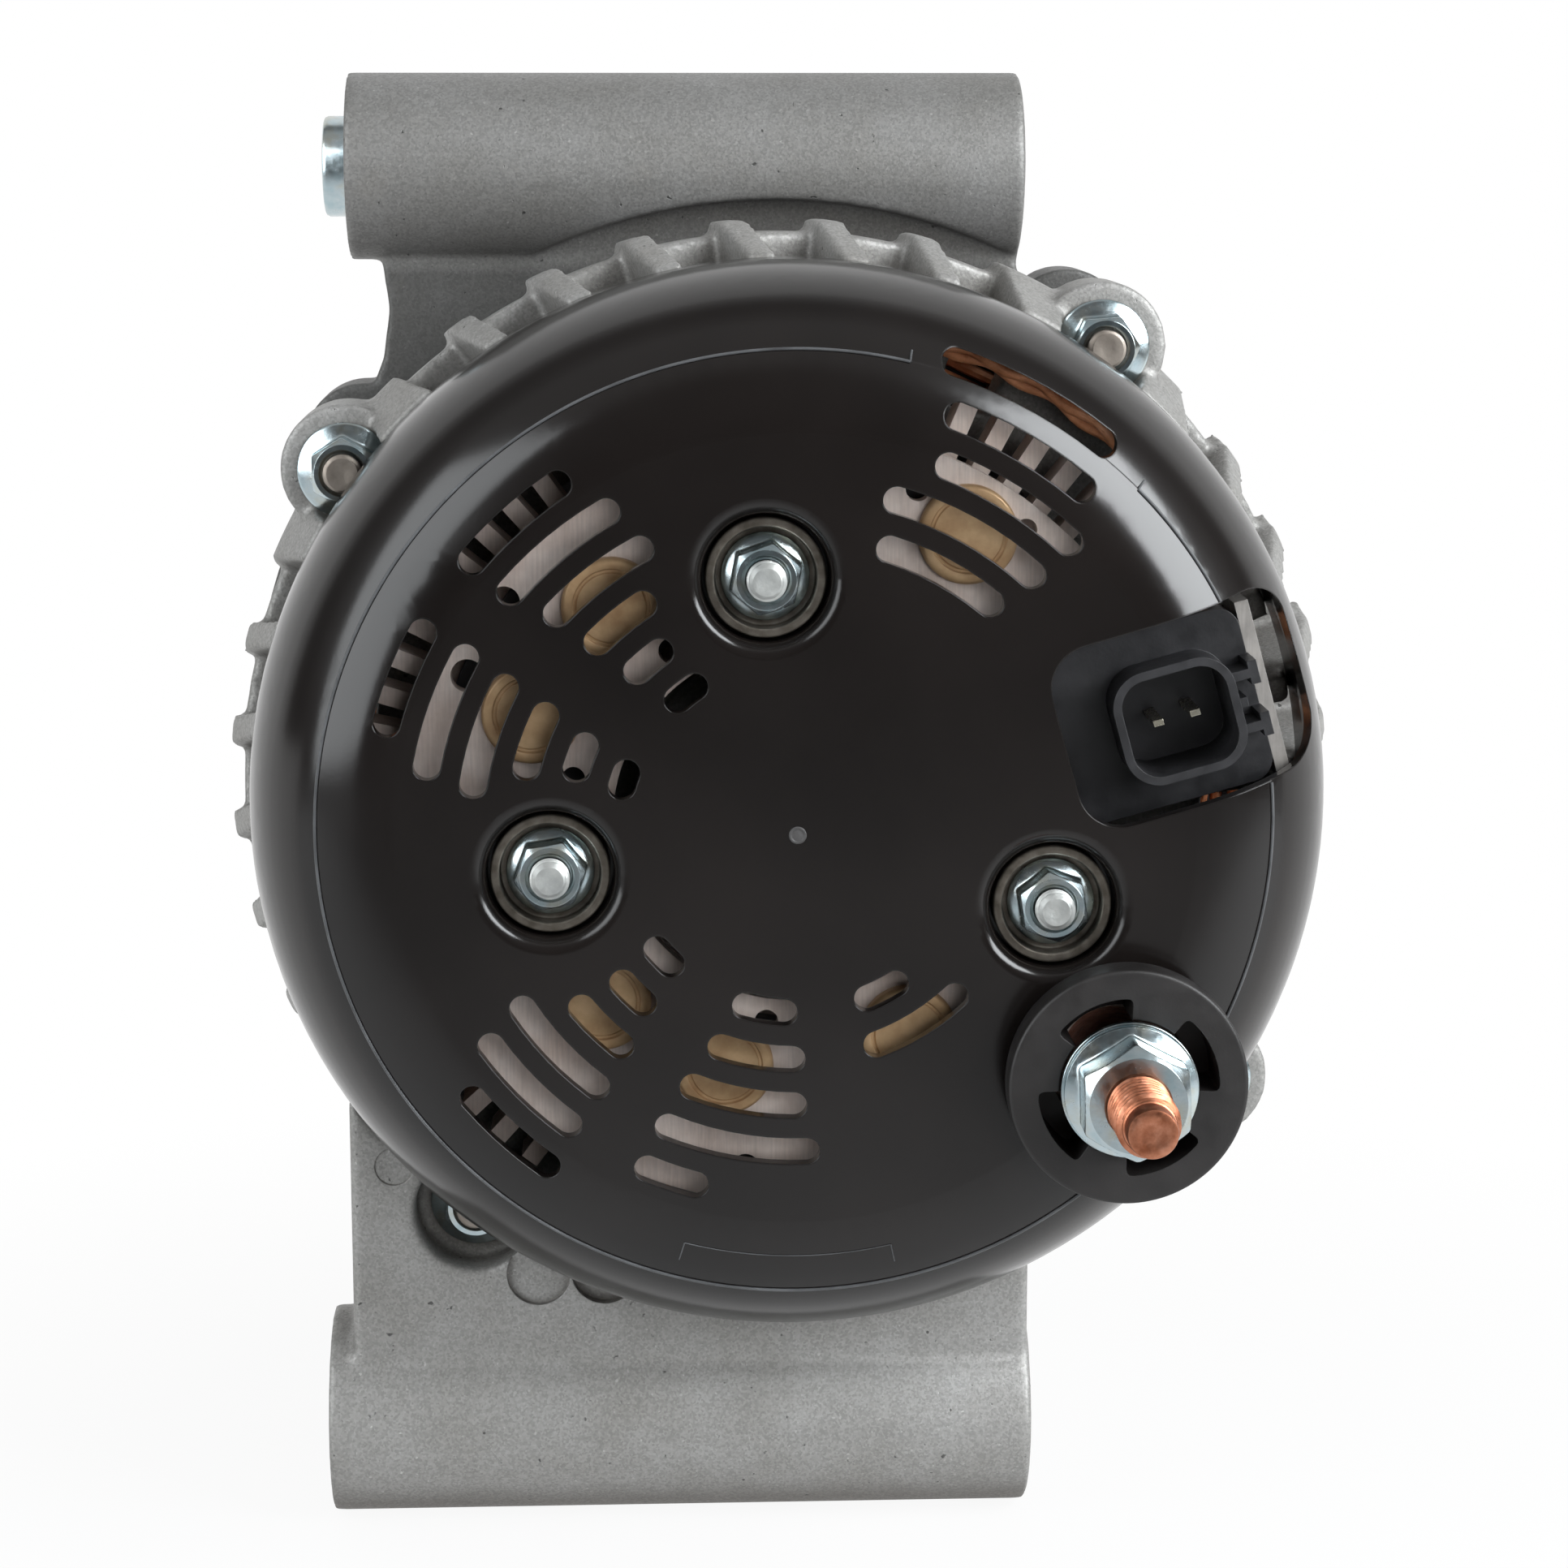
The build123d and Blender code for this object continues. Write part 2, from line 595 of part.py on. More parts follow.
def regulator_case():
    """The moulded body with the connector's shroud, its keying ribs and the blade slots."""
    length = REGULATOR_OUT - REGULATOR_IN
    body = on_regulator(REGULATOR_IN + length / 2) * RectangleRounded(length, 2 * REGULATOR_HALF, 3)
    case = slab(body, REGULATOR_Y, REGULATOR_SINK_Y)
    mouth = RectangleRounded(SOCKET_LONG, SOCKET_SHORT, SOCKET_CORNER)
    case += slab(on_regulator(SOCKET_R) * mouth, SOCKET_MOUTH_Y, REGULATOR_Y)
    start = SOCKET_R + SOCKET_LONG / 2 - SOCKET_WALL / 2
    for offset, reach in LOCK_RIBS:
        rib = on_regulator(start + reach / 2, offset) * Rectangle(reach, LOCK_RIB)
        if offset:
            rib += on_regulator(start + reach, offset) * Rectangle(LOCK_RIB, LOCK_HEAD)
        case += slab(rib, SOCKET_MOUTH_Y + 1, REGULATOR_Y)
    inside = RectangleRounded(SOCKET_LONG - 2 * SOCKET_WALL, SOCKET_SHORT - 2 * SOCKET_WALL,
                              SOCKET_CORNER - SOCKET_WALL)
    floor = SOCKET_MOUTH_Y + SOCKET_DEPTH
    case -= slab(on_regulator(SOCKET_R) * inside, SOCKET_MOUTH_Y - 1, floor)
    case -= [slab(slot, floor - 1, REGULATOR_SINK_Y) for slot in blades()]
    for place in REGULATOR_SCREWS:
        case -= slab(on_regulator(*place) * Circle(SCREW_R + CLEAR), REGULATOR_Y - 1, REGULATOR_SINK_Y)
    return case


def blades():
    """The outlines of the two flat pins."""
    return [on_regulator(SOCKET_R + side * BLADE_PITCH / 2) * Rectangle(BLADE_WIDE, BLADE_THICK)
            for side in (-1, 1)]


def regulator_pins():
    floor = SOCKET_MOUTH_Y + SOCKET_DEPTH
    return [slab(blade, floor - BLADE_STAND, REGULATOR_SINK_Y) for blade in blades()]


def regulator_heatsink():
    """A plate on the frame's wall with cooling channels, and a rim that stands beside the case."""
    length = REGULATOR_OUT - REGULATOR_IN
    plate = on_regulator(REGULATOR_IN + length / 2) * Rectangle(length, 2 * REGULATOR_HALF)
    for place in REGULATOR_SCREWS:
        plate -= on_regulator(*place) * Circle(SCREW_R)
    sink = slab(plate, REGULATOR_SINK_Y, REAR_WALL_Y)
    rim = on_regulator(REGULATOR_OUT + SINK_RIM / 2) * Rectangle(SINK_RIM, 2 * REGULATOR_HALF)
    sink += slab(rim, REGULATOR_Y, REAR_WALL_Y)
    pitch = (2 * REGULATOR_HALF - SINK_FIN) / SINK_CHANNELS
    for channel in range(SINK_CHANNELS):
        middle = SINK_FIN - REGULATOR_HALF + pitch * channel + (pitch - SINK_FIN) / 2
        cut = on_regulator(REGULATOR_OUT + SINK_RIM - SINK_CHANNEL / 2, middle)
        cut = cut * Rectangle(SINK_CHANNEL + 0.2, pitch - SINK_FIN)
        sink -= slab(cut, REGULATOR_SINK_Y + 1.3 * SINK_FIN, REAR_WALL_Y)
    return sink


def regulator_screw(place):
    shank = slab(on_regulator(*place) * Circle(SCREW_R), REGULATOR_Y, REAR_WALL_Y)
    head = slab(on_regulator(*place) * Circle(1.9 * SCREW_R), REGULATOR_Y - 1.2 * SCREW_R, REGULATOR_Y)
    cross = Rectangle(1.8 * SCREW_R, 0.45 * SCREW_R) + Rectangle(0.45 * SCREW_R, 1.8 * SCREW_R)
    return shank + head - slab(on_regulator(*place) * cross, 0, REGULATOR_Y - 0.6 * SCREW_R)


# Brushes

def brush_middle(index):
    return SLIP_RING_Y[index] + SLIP_RING / 2


def upright(width, thick, low, high, y):
    """A box over the shaft, between two heights."""
    return Pos(0, y, (low + high) / 2) * Box(width, thick, high - low)


def brush(index):
    """A carbon block with its foot curved to the slip ring."""
    body = upright(BRUSH_WIDE, BRUSH_THICK, 0, RING_R + BRUSH_LENGTH, brush_middle(index))
    return body - disc(RING_R + RUNNING, SHAFT_REAR_Y, REAR_WALL_Y)


def brush_spring(index):
    """The coil spring as the tube that its turns fill."""
    low = RING_R + BRUSH_LENGTH
    tube = Cylinder(SPRING_R, HOLDER_ROOF - low) - Cylinder(SPRING_R - SPRING_WIRE, HOLDER_ROOF)
    return Pos(0, brush_middle(index), (HOLDER_ROOF + low) / 2) * tube


def brush_holder():
    """A block on the bearing hub with a chute for each brush."""
    rear = brush_middle(0) - BRUSH_THICK / 2 - HOLDER_SIDE
    front = HUB_REAR_Y
    body = upright(BRUSH_WIDE + 2 * HOLDER_SIDE, front - rear, HOLDER_BOTTOM, HOLDER_TOP, (rear + front) / 2)
    for index in range(2):
        body -= upright(BRUSH_WIDE + 2 * RUNNING, BRUSH_THICK + 2 * RUNNING, 0, HOLDER_ROOF,
                        brush_middle(index))
    return body


# Frames

def vents(rear, front, inner=VENT_IN_R, tilt=Pos(0, 0, 0)):
    """The openings between the ribs, missed out where the bolt ears stand; tilt makes the ribs lean."""
    pitch = 360 / RIB_COUNT
    half = pitch / 2 * (1 - RIB_SHARE)
    cut = tilt * slab(sector(inner, FRAME_R + 2 * EAR_R, -half, half), rear, front)
    return [around(pitch * turn) * cut for turn in range(RIB_COUNT)
            if all(abs(pitch * turn - ear) > pitch * 0.85 for ear in BOLT_ANGLES)]


def inlets(rear, front):
    """The openings of an end wall round its hub."""
    pitch = 360 / INLET_COUNT
    half = pitch / 2 * INLET_SHARE
    cut = slab(sector(INLET_IN_R, INLET_OUT_R, -half, half), rear, front)
    return every(cut, INLET_COUNT, pitch / 2)


def at_bolts(shape):
    return [polar(BOLT_CIRCLE_R, angle) * shape for angle in BOLT_ANGLES]


def rear_frame():
    """Cast frame with the end wall, the ribs, the bearing hub and the lower mounting bar."""
    rim, ring_end = STATOR_REAR_Y, STATOR_REAR_Y - RING_LENGTH
    wall_end = REAR_WALL_Y + WALL
    bearing_r = REAR_BEARING[1]
    hub_r = bearing_r + HUB_WALL
    body = turned((hub_r - 1, REAR_WALL_Y), (WALL_R, REAR_WALL_Y), (WALL_R, LIP_Y), (COVER_R + 0.5, LIP_Y),
                  (FRAME_R, ring_end), (FRAME_R, rim), (FRAME_IN_R, rim), (FRAME_IN_R, rim - END_REAR - 0.5),
                  (FRAME_IN_R - 3, rim - END_REAR - 3.5), (FRAME_IN_R - 3, wall_end), (hub_r - 1, wall_end))
    lean = Pos(0, ring_end, 0) * Rot(RIB_LEAN, 0, 0) * Pos(0, -ring_end, 0)
    body -= vents(REAR_WALL_Y - WALL, ring_end, tilt=lean)
    body -= vents(ring_end, rim + 2, FRAME_RING_R, tilt=lean)
    body -= inlets(REAR_WALL_Y - 1, wall_end + 1)
    body += ring(bearing_r, hub_r, HUB_REAR_Y, REAR_BEARING_Y[1] + 1)
    body += ring(bearing_r - 3.5, bearing_r + 1, HUB_REAR_Y, REAR_BEARING_Y[0])
    body += at_bolts(disc(EAR_R, BOLT_SEAT_Y, rim))
    body += lower_bracket()
    body -= disc(FRAME_IN_R, rim - END_REAR - 0.5, rim + 1)
    body -= at_bolts(disc(BOLT_R + CLEAR, 0, rim + 1))
    body -= at_bolts(disc(BOLT_NUT_FLANGE_R + CLEAR, 0, BOLT_SEAT_Y))
    body -= polar(BOLT_CIRCLE_R, BOLT_ANGLES[2]) * disc(POCKET_R, 0, BOLT_SEAT_Y)
    for place in COVER_FIX + [RECTIFIER_SCREW_AT]:
        spoke = Pos((hub_r + WALL_R) / 2 - 1, 0) * Rectangle(WALL_R - hub_r, BOSS_R)
        body += slab(Rot(0, 0, place[1]) * spoke, REAR_WALL_Y, wall_end)
        body += polar(*place) * disc(BOSS_R, boss_top(place), wall_end)
    for place in COVER_FIX + [RECTIFIER_SCREW_AT]:
        body -= polar(*place) * disc(STUD_R, 0, REAR_WALL_Y)
    return body


def lower_bracket():
    """The plate down to the lower bar, and the bar with its bore."""
    middle = Pos((BRACKET_LEFT + BRACKET_RIGHT) / 2, -(BRACKET_TOP + PIVOT_DROP) / 2)
    plate = middle * Rectangle(BRACKET_RIGHT - BRACKET_LEFT, PIVOT_DROP - BRACKET_TOP)
    bracket = slab(plate, BRACKET_REAR_Y, BRACKET_FRONT_Y) - disc(FRAME_RING_R - 1, 0, STATOR_REAR_Y)
    for x, z, radius in EJECTOR_MARKS:
        bracket -= slab(Pos(x, z) * Circle(radius), 0, BRACKET_REAR_Y + EJECTOR_DEPTH)
    bracket += beam(PIVOT_BAR_R, PIVOT_BAR_LEFT, PIVOT_BAR_RIGHT, PIVOT_Y, -PIVOT_DROP)
    return bracket - beam(PIVOT_BORE_R, PIVOT_BAR_LEFT - 1, PIVOT_BAR_RIGHT + 1, PIVOT_Y, -PIVOT_DROP)


def front_frame():
    """Cast frame with the front bearing's hub, the web and the upper mounting bar."""
    rim, ring_end = STATOR_FRONT_Y, STATOR_FRONT_Y + RING_LENGTH
    wall_end = FRONT_WALL_Y + WALL
    bearing_r = FRONT_BEARING[1]
    hub_r = bearing_r + HUB_WALL
    body = turned((hub_r - 1, wall_end), (WALL_R - 2, wall_end), (COVER_R + 0.5, wall_end - 3),
                  (FRAME_R, ring_end), (FRAME_R, rim), (FRAME_IN_R, rim), (FRAME_IN_R, FRONT_WALL_Y - 2),
                  (FRAME_IN_R - 2, FRONT_WALL_Y), (hub_r - 1, FRONT_WALL_Y))
    body -= vents(ring_end, wall_end + 1)
    body -= inlets(FRONT_WALL_Y - 1, wall_end + 1)
    body += ring(bearing_r, hub_r, FRONT_BEARING_Y[0] - 1, FRONT_BEARING_Y[1] + BEARING_LIP)
    body += ring(bearing_r - 5, bearing_r + 1, FRONT_BEARING_Y[1], FRONT_BEARING_Y[1] + BEARING_LIP)
    body += at_bolts(disc(EAR_R, rim, BOLT_HEAD_Y))
    body += upper_bracket()
    body -= disc(FRAME_IN_R, rim - 1, FRONT_WALL_Y - 2)
    body -= at_bolts(disc(BOLT_R + CLEAR, 0, wall_end))
    body -= at_bolts(disc(BOLT_NUT_FLANGE_R + CLEAR, BOLT_HEAD_Y, wall_end + 9))
    for angle in RETAINER_ANGLES:
        body += polar(hub_r, angle) * disc(2 * SCREW_R, FRONT_BEARING_Y[0] - 1, wall_end)
    for angle in RETAINER_ANGLES:
        body -= polar(RETAINER_R, angle) * disc(SCREW_R, 0, FRONT_BEARING_Y[0] + RETAINER_SCREW)
    body -= disc(bearing_r, FRONT_BEARING_Y[0] - 1, FRONT_BEARING_Y[1])
    body -= beam(TOP_BORE_R, TOP_BAR_LEFT - 1, TOP_BAR_RIGHT + 1, TOP_Y, TOP_Z)
    bush_end = TOP_BAR_LEFT - BUSH_STAND_OUT + BUSH_LENGTH + BUSH_TRAVEL
    return body - beam(BUSH_R + RUNNING, TOP_BAR_LEFT - 1, bush_end + CLEAR, TOP_Y, TOP_Z)


def upper_bracket():
    """The web and the bar, whose rear half is arched round the rear frame."""
    rim = STATOR_FRONT_Y
    outline = WEB + [(TOP_BAR_RIGHT, TOP_Z), (TOP_BAR_LEFT + 4, TOP_Z)]
    web = slab(make_face(Polyline(*outline, close=True)), rim, BOLT_HEAD_Y)
    bar = beam(TOP_BAR_R, TOP_BAR_LEFT, TOP_BAR_RIGHT, TOP_Y, TOP_Z) - disc(ARCH_R, 0, rim)
    return (web + bar) - disc(FRAME_RING_R - 1, 0, BOLT_HEAD_Y + RING_LENGTH)


def mount_bush():
    left = TOP_BAR_LEFT - BUSH_STAND_OUT
    outer = beam(BUSH_R, left, left + BUSH_LENGTH, TOP_Y, TOP_Z)
    return outer - beam(BUSH_BORE_R, left, left + BUSH_LENGTH, TOP_Y, TOP_Z)


def through_bolt(angle):
    bolt = stud(BOLT_R, BOLT_TIP_Y, BOLT_HEAD_Y)
    bolt += disc(BOLT_NUT_FLANGE_R - CLEAR, BOLT_HEAD_Y, BOLT_HEAD_Y + NUT_FLANGE)
    bolt += hexagon(NUT_FLATS, BOLT_HEAD_Y, BOLT_HEAD_Y + NUT_HEIGHT)
    return polar(BOLT_CIRCLE_R, angle) * bolt


def through_bolt_nut(angle):
    nut = flange_nut(NUT_FLATS, BOLT_NUT_FLANGE_R, NUT_FLANGE, NUT_HEIGHT, BOLT_R + RUNNING, BOLT_SEAT_Y)
    return polar(BOLT_CIRCLE_R, angle) * nut


# Stator

SLOT_COUNT = 3 * 2 * POLE_PAIRS


def stator_core():
    core = ring(CORE_BORE_R, CORE_R, STATOR_REAR_Y, STATOR_FRONT_Y)
    slot = Pos((SLOT_IN_R + SLOT_OUT_R) / 2, 0) * Rectangle(SLOT_OUT_R - SLOT_IN_R, CORE_SLOT)
    slot += Pos((CORE_BORE_R + SLOT_IN_R) / 2, 0) * Rectangle(SLOT_IN_R - CORE_BORE_R + 1, CORE_OPENING)
    return core - every(slab(slot, STATOR_REAR_Y - 1, STATOR_FRONT_Y + 1), SLOT_COUNT)


def stator_winding():
    """Bars through every slot, closed to a ring of hairpin ends at each side."""
    rear = ring(END_IN_R, END_OUT_R, STATOR_REAR_Y - END_REAR, STATOR_REAR_Y - END_GAP)
    front = ring(END_IN_R, END_OUT_R, STATOR_FRONT_Y + END_GAP, STATOR_FRONT_Y + END_FRONT)
    bar = Pos((END_IN_R + SLOT_OUT_R) / 2, 0) * Rectangle(SLOT_OUT_R - END_IN_R - CLEAR, BAR_WIDTH)
    bar = slab(bar, STATOR_REAR_Y - 2 * END_GAP, STATOR_FRONT_Y + 2 * END_GAP)
    winding = rear + front + every(bar, SLOT_COUNT)
    lead = disc(PHASE_LEAD_R, BLOCK_Y - STACK_GAP, STATOR_REAR_Y - END_REAR + 1)
    return winding + [polar(PHASE_R, angle) * lead for angle in PHASE_ANGLES]


# Rotor

def claw_pole():
    """The rear pole: a disc with six tapered fingers that reach forwards over the coil."""
    rotor_r = CORE_BORE_R - AIR_GAP
    start, end = ROTOR_REAR_Y, ROTOR_REAR_Y + ROTOR_LENGTH - POLE_END_GAP
    root = start + POLE_DISC
    outline = Polyline((start, -POLE_ROOT / 2), (root, -POLE_ROOT / 2), (end, -POLE_TIP / 2),
                       (end, POLE_TIP / 2), (root, POLE_ROOT / 2), (start, POLE_ROOT / 2), close=True)
    # the outline holds (y, width) and is swept outwards through the finger's thickness
    plane = Plane((SHAFT_POLE_R, 0, 0), x_dir=(0, 1, 0), z_dir=(1, 0, 0))
    finger = extrude(plane * make_face(outline), rotor_r)
    finger -= turned((0, root), (POLE_INNER_R, root), (POLE_TIP_R, end), (POLE_TIP_R, end + 1), (0, end + 1))
    body = disc(POLE_DISC_R, start, root) + every(finger & disc(rotor_r, start, end), POLE_PAIRS)
    return body - disc(SHAFT_POLE_R, start - 1, end)


def front_claw_pole():
    """The front pole: the rear one reversed and turned by half a pole's pitch."""
    middle = ROTOR_REAR_Y + ROTOR_LENGTH / 2
    return around(180 / POLE_PAIRS) * Pos(0, 2 * middle, 0) * mirror(claw_pole(), Plane.XZ)


def coil_bobbin():
    rear, front = ROTOR_REAR_Y + POLE_DISC, ROTOR_REAR_Y + ROTOR_LENGTH - POLE_DISC
    body = ring(SHAFT_POLE_R, BOBBIN_R, rear, front)
    body += ring(SHAFT_POLE_R, COIL_R + 0.8, rear, rear + BOBBIN_WALL)
    return body + ring(SHAFT_POLE_R, COIL_R + 0.8, front - BOBBIN_WALL, front)


def field_coil():
    inset = POLE_DISC + BOBBIN_WALL
    return ring(BOBBIN_R, COIL_R, ROTOR_REAR_Y + inset, ROTOR_REAR_Y + ROTOR_LENGTH - inset)


def fan(seat, way):
    """A pressed fan: a plate on the pole's face with its blades standing away from it."""
    plate = ring(SHAFT_POLE_R + 8, FAN_R, *sorted((seat, seat + way * FAN_PLATE)))
    arc = ThreePointArc((FAN_HUB_R, 0), ((FAN_HUB_R + FAN_R) / 2, 0.4 * FAN_LEAN), (FAN_R - 3, FAN_LEAN))
    blade = slab(SlotArc(arc, FAN_PLATE), *sorted((seat, seat + way * (FAN_PLATE + FAN_BLADE))))
    return plate + every(blade, FAN_BLADES)


def shaft():
    poles = ROTOR_REAR_Y + ROTOR_LENGTH
    thread = PULLEY_REAR_Y + PULLEY_LENGTH
    return turned((0, SHAFT_REAR_Y), (SHAFT_SLEEVE_R, SHAFT_REAR_Y), (SHAFT_SLEEVE_R, SHAFT_STEP_Y),
                  (SHAFT_REAR_R, SHAFT_STEP_Y), (SHAFT_REAR_R, ROTOR_REAR_Y), (SHAFT_POLE_R, ROTOR_REAR_Y),
                  (SHAFT_POLE_R, poles), (SHAFT_FRONT_R, poles), (SHAFT_FRONT_R, thread),
                  (SHAFT_FRONT_R - 0.5, thread), (SHAFT_FRONT_R - 0.5, SHAFT_FRONT_Y - 1),
                  (SHAFT_FRONT_R - 1.5, SHAFT_FRONT_Y), (0, SHAFT_FRONT_Y))


def slip_ring_sleeve():
    """The insulating sleeve, with a collar beside each slip ring."""
    collar = RING_R - 0.2
    first, second = SLIP_RING_Y
    return turned((SHAFT_SLEEVE_R, SHAFT_REAR_Y), (SLEEVE_R, SHAFT_REAR_Y), (SLEEVE_R, first + SLIP_RING),
                  (collar, first + SLIP_RING), (collar, second), (SLEEVE_R, second),
                  (SLEEVE_R, SHAFT_STEP_Y), (SHAFT_SLEEVE_R, SHAFT_STEP_Y))


def slip_ring(start):
    return ring(SLEEVE_R, RING_R, start, start + SLIP_RING)


def pulley():
    """A V-ribbed pulley: grooves of 40 degrees between two flanges, with a dished front."""
    rear, front = PULLEY_REAR_Y, PULLEY_REAR_Y + PULLEY_LENGTH
    root = PULLEY_R - GROOVE_DEPTH
    half = GROOVE_DEPTH * tan(radians(20))
    outline = [(SHAFT_FRONT_R, rear), (PULLEY_R, rear)]
    for groove in range(PULLEY_GROOVES):
        middle = rear + PULLEY_EDGE + GROOVE_PITCH * (groove + 0.5)
        outline += [(PULLEY_R, middle - half - GROOVE_FLAT), (root, middle - GROOVE_FLAT),
                    (root, middle + GROOVE_FLAT), (PULLEY_R, middle + half + GROOVE_FLAT)]
    rim = PULLEY_R - PULLEY_RIM
    outline += [(PULLEY_R, front), (rim, front), (rim - 1, front - PULLEY_DISH),
                (PULLEY_HUB_R + 0.5, front - PULLEY_DISH), (PULLEY_HUB_R, front), (SHAFT_FRONT_R, front)]
    return turned(*outline)


def pulley_nut():
    rear = PULLEY_REAR_Y + PULLEY_LENGTH
    nut = hexagon(PULLEY_NUT_FLATS, rear, rear + PULLEY_NUT) + disc(PULLEY_HUB_R - 0.6, rear, rear + 1.5)
    return nut - disc(SHAFT_FRONT_R - 0.5, rear - 1, rear + 2 * PULLEY_NUT)


def pulley_spacer():
    return ring(SHAFT_FRONT_R, SHAFT_FRONT_R + SPACER_WALL, FRONT_BEARING_Y[1], PULLEY_REAR_Y)


# Bearings

def race_groove(bearing, span):
    """The groove that the balls run in, as the ring of flats that touches its circle."""
    circle, ball = bearing[2], bearing[3]
    middle = (span[0] + span[1]) / 2
    outline = Pos(circle, middle) * RegularPolygon(ball + RUNNING, 8, major_radius=False, rotation=22.5)
    return revolve(outline, Axis.Y)


def bearing_outer(bearing, span):
    bore, outer, circle, ball, count = bearing
    return ring(circle + 0.64 * ball, outer, *span) - race_groove(bearing, span)


def bearing_inner(bearing, span):
    bore, outer, circle, ball, count = bearing
    return ring(bore, circle - 0.64 * ball, *span) - race_groove(bearing, span)


def bearing_balls(bearing, span):
    bore, outer, circle, ball, count = bearing
    middle = (span[0] + span[1]) / 2
    return every(Pos(circle, middle, 0) * Sphere(ball), count)


def bearing_cage(bearing, span):
    """One thin ring with a round pocket for each ball."""
    bore, outer, circle, ball, count = bearing
    middle = (span[0] + span[1]) / 2
    half = 1.25 * ball
    cage = ring(circle - 0.2 * ball, circle + 0.2 * ball, middle - half, middle + half)
    pocket = Pos(circle, middle, 0) * Rot(0, 90, 0) * Cylinder(ball + RUNNING, 2 * ball)
    return cage - every(pocket, count)


def bearing_retainer():
    """A plate behind the front bearing, held by four screws."""
    front = FRONT_BEARING_Y[0]
    plate = ring(FRONT_BEARING[1] - RETAINER_LAP, RETAINER_R + 2 * SCREW_R, front - RETAINER, front)
    plate -= ring(FRONT_BEARING[1], RETAINER_R + 3 * SCREW_R, front - 1, front + 1)
    return plate - [polar(RETAINER_R, angle) * disc(SCREW_R, 0, front) for angle in RETAINER_ANGLES]


def retainer_screw(angle):
    face = FRONT_BEARING_Y[0] - RETAINER
    screw = disc(SCREW_R, face, FRONT_BEARING_Y[0] + RETAINER_SCREW)
    screw += disc(1.9 * SCREW_R, face - SCREW_R, face)
    return polar(RETAINER_R, angle) * screw


# Everything is written out here
save("rear_cover", rear_cover())
save("cover_collars", *[cover_collar(fix) for fix in COVER_FIX])
save("cover_nuts", *[cover_nut(fix) for fix in COVER_FIX])
save("cover_studs", *[cover_stud(fix) for fix in COVER_FIX])
save("output_insulator", output_insulator())
save("output_stud", output_stud())
save("output_washer", output_washer())
save("output_nut", output_nut())
save("positive_heatsink", positive_heatsink())
save("negative_heatsink", negative_heatsink())
save("positive_diodes", *[positive_diode(place) for place in POSITIVE_DIODES])
save("negative_diodes", *[negative_diode(place) for place in NEGATIVE_DIODES])
save("terminal_block", terminal_block())
save("rectifier_screw", rectifier_screw())
save("regulator_case", regulator_case())
save("regulator_pins", *regulator_pins())
save("regulator_heatsink", regulator_heatsink())
save("regulator_screws", *[regulator_screw(place) for place in REGULATOR_SCREWS])
save("brush_holder", brush_holder())
for index in range(2):
    save(f"brush_{index + 1}", brush(index))
    save(f"brush_{index + 1}_spring", brush_spring(index))
save("rear_frame", rear_frame())
save("front_frame", front_frame())
save("mount_bush", mount_bush())
save("through_bolts", *[through_bolt(angle) for angle in BOLT_ANGLES])
save("through_bolt_nuts", *[through_bolt_nut(angle) for angle in BOLT_ANGLES])
save("stator_core", stator_core())
save("stator_winding", stator_winding())
save("rear_claw_pole", claw_pole())
save("front_claw_pole", front_claw_pole())
save("coil_bobbin", coil_bobbin())
save("field_coil", field_coil())
save("rear_fan", fan(ROTOR_REAR_Y, -1))
save("front_fan", fan(ROTOR_REAR_Y + ROTOR_LENGTH, 1))
save("shaft", shaft())
save("slip_ring_sleeve", slip_ring_sleeve())
save("slip_rings", *[slip_ring(start) for start in SLIP_RING_Y])
save("pulley", pulley())
save("pulley_nut", pulley_nut())
save("pulley_spacer", pulley_spacer())
for name, bearing, span in (("rear", REAR_BEARING, REAR_BEARING_Y), ("front", FRONT_BEARING, FRONT_BEARING_Y)):
    save(f"{name}_bearing_outer", bearing_outer(bearing, span))
    save(f"{name}_bearing_inner", bearing_inner(bearing, span))
    save(f"{name}_bearing_balls", *bearing_balls(bearing, span))
    save(f"{name}_bearing_cage", bearing_cage(bearing, span))
save("bearing_retainer", bearing_retainer())
save("retainer_screws", *[retainer_screw(angle) for angle in RETAINER_ANGLES])
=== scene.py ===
import json
import math
import random

import bmesh
import bpy
from mathutils import Matrix, Vector

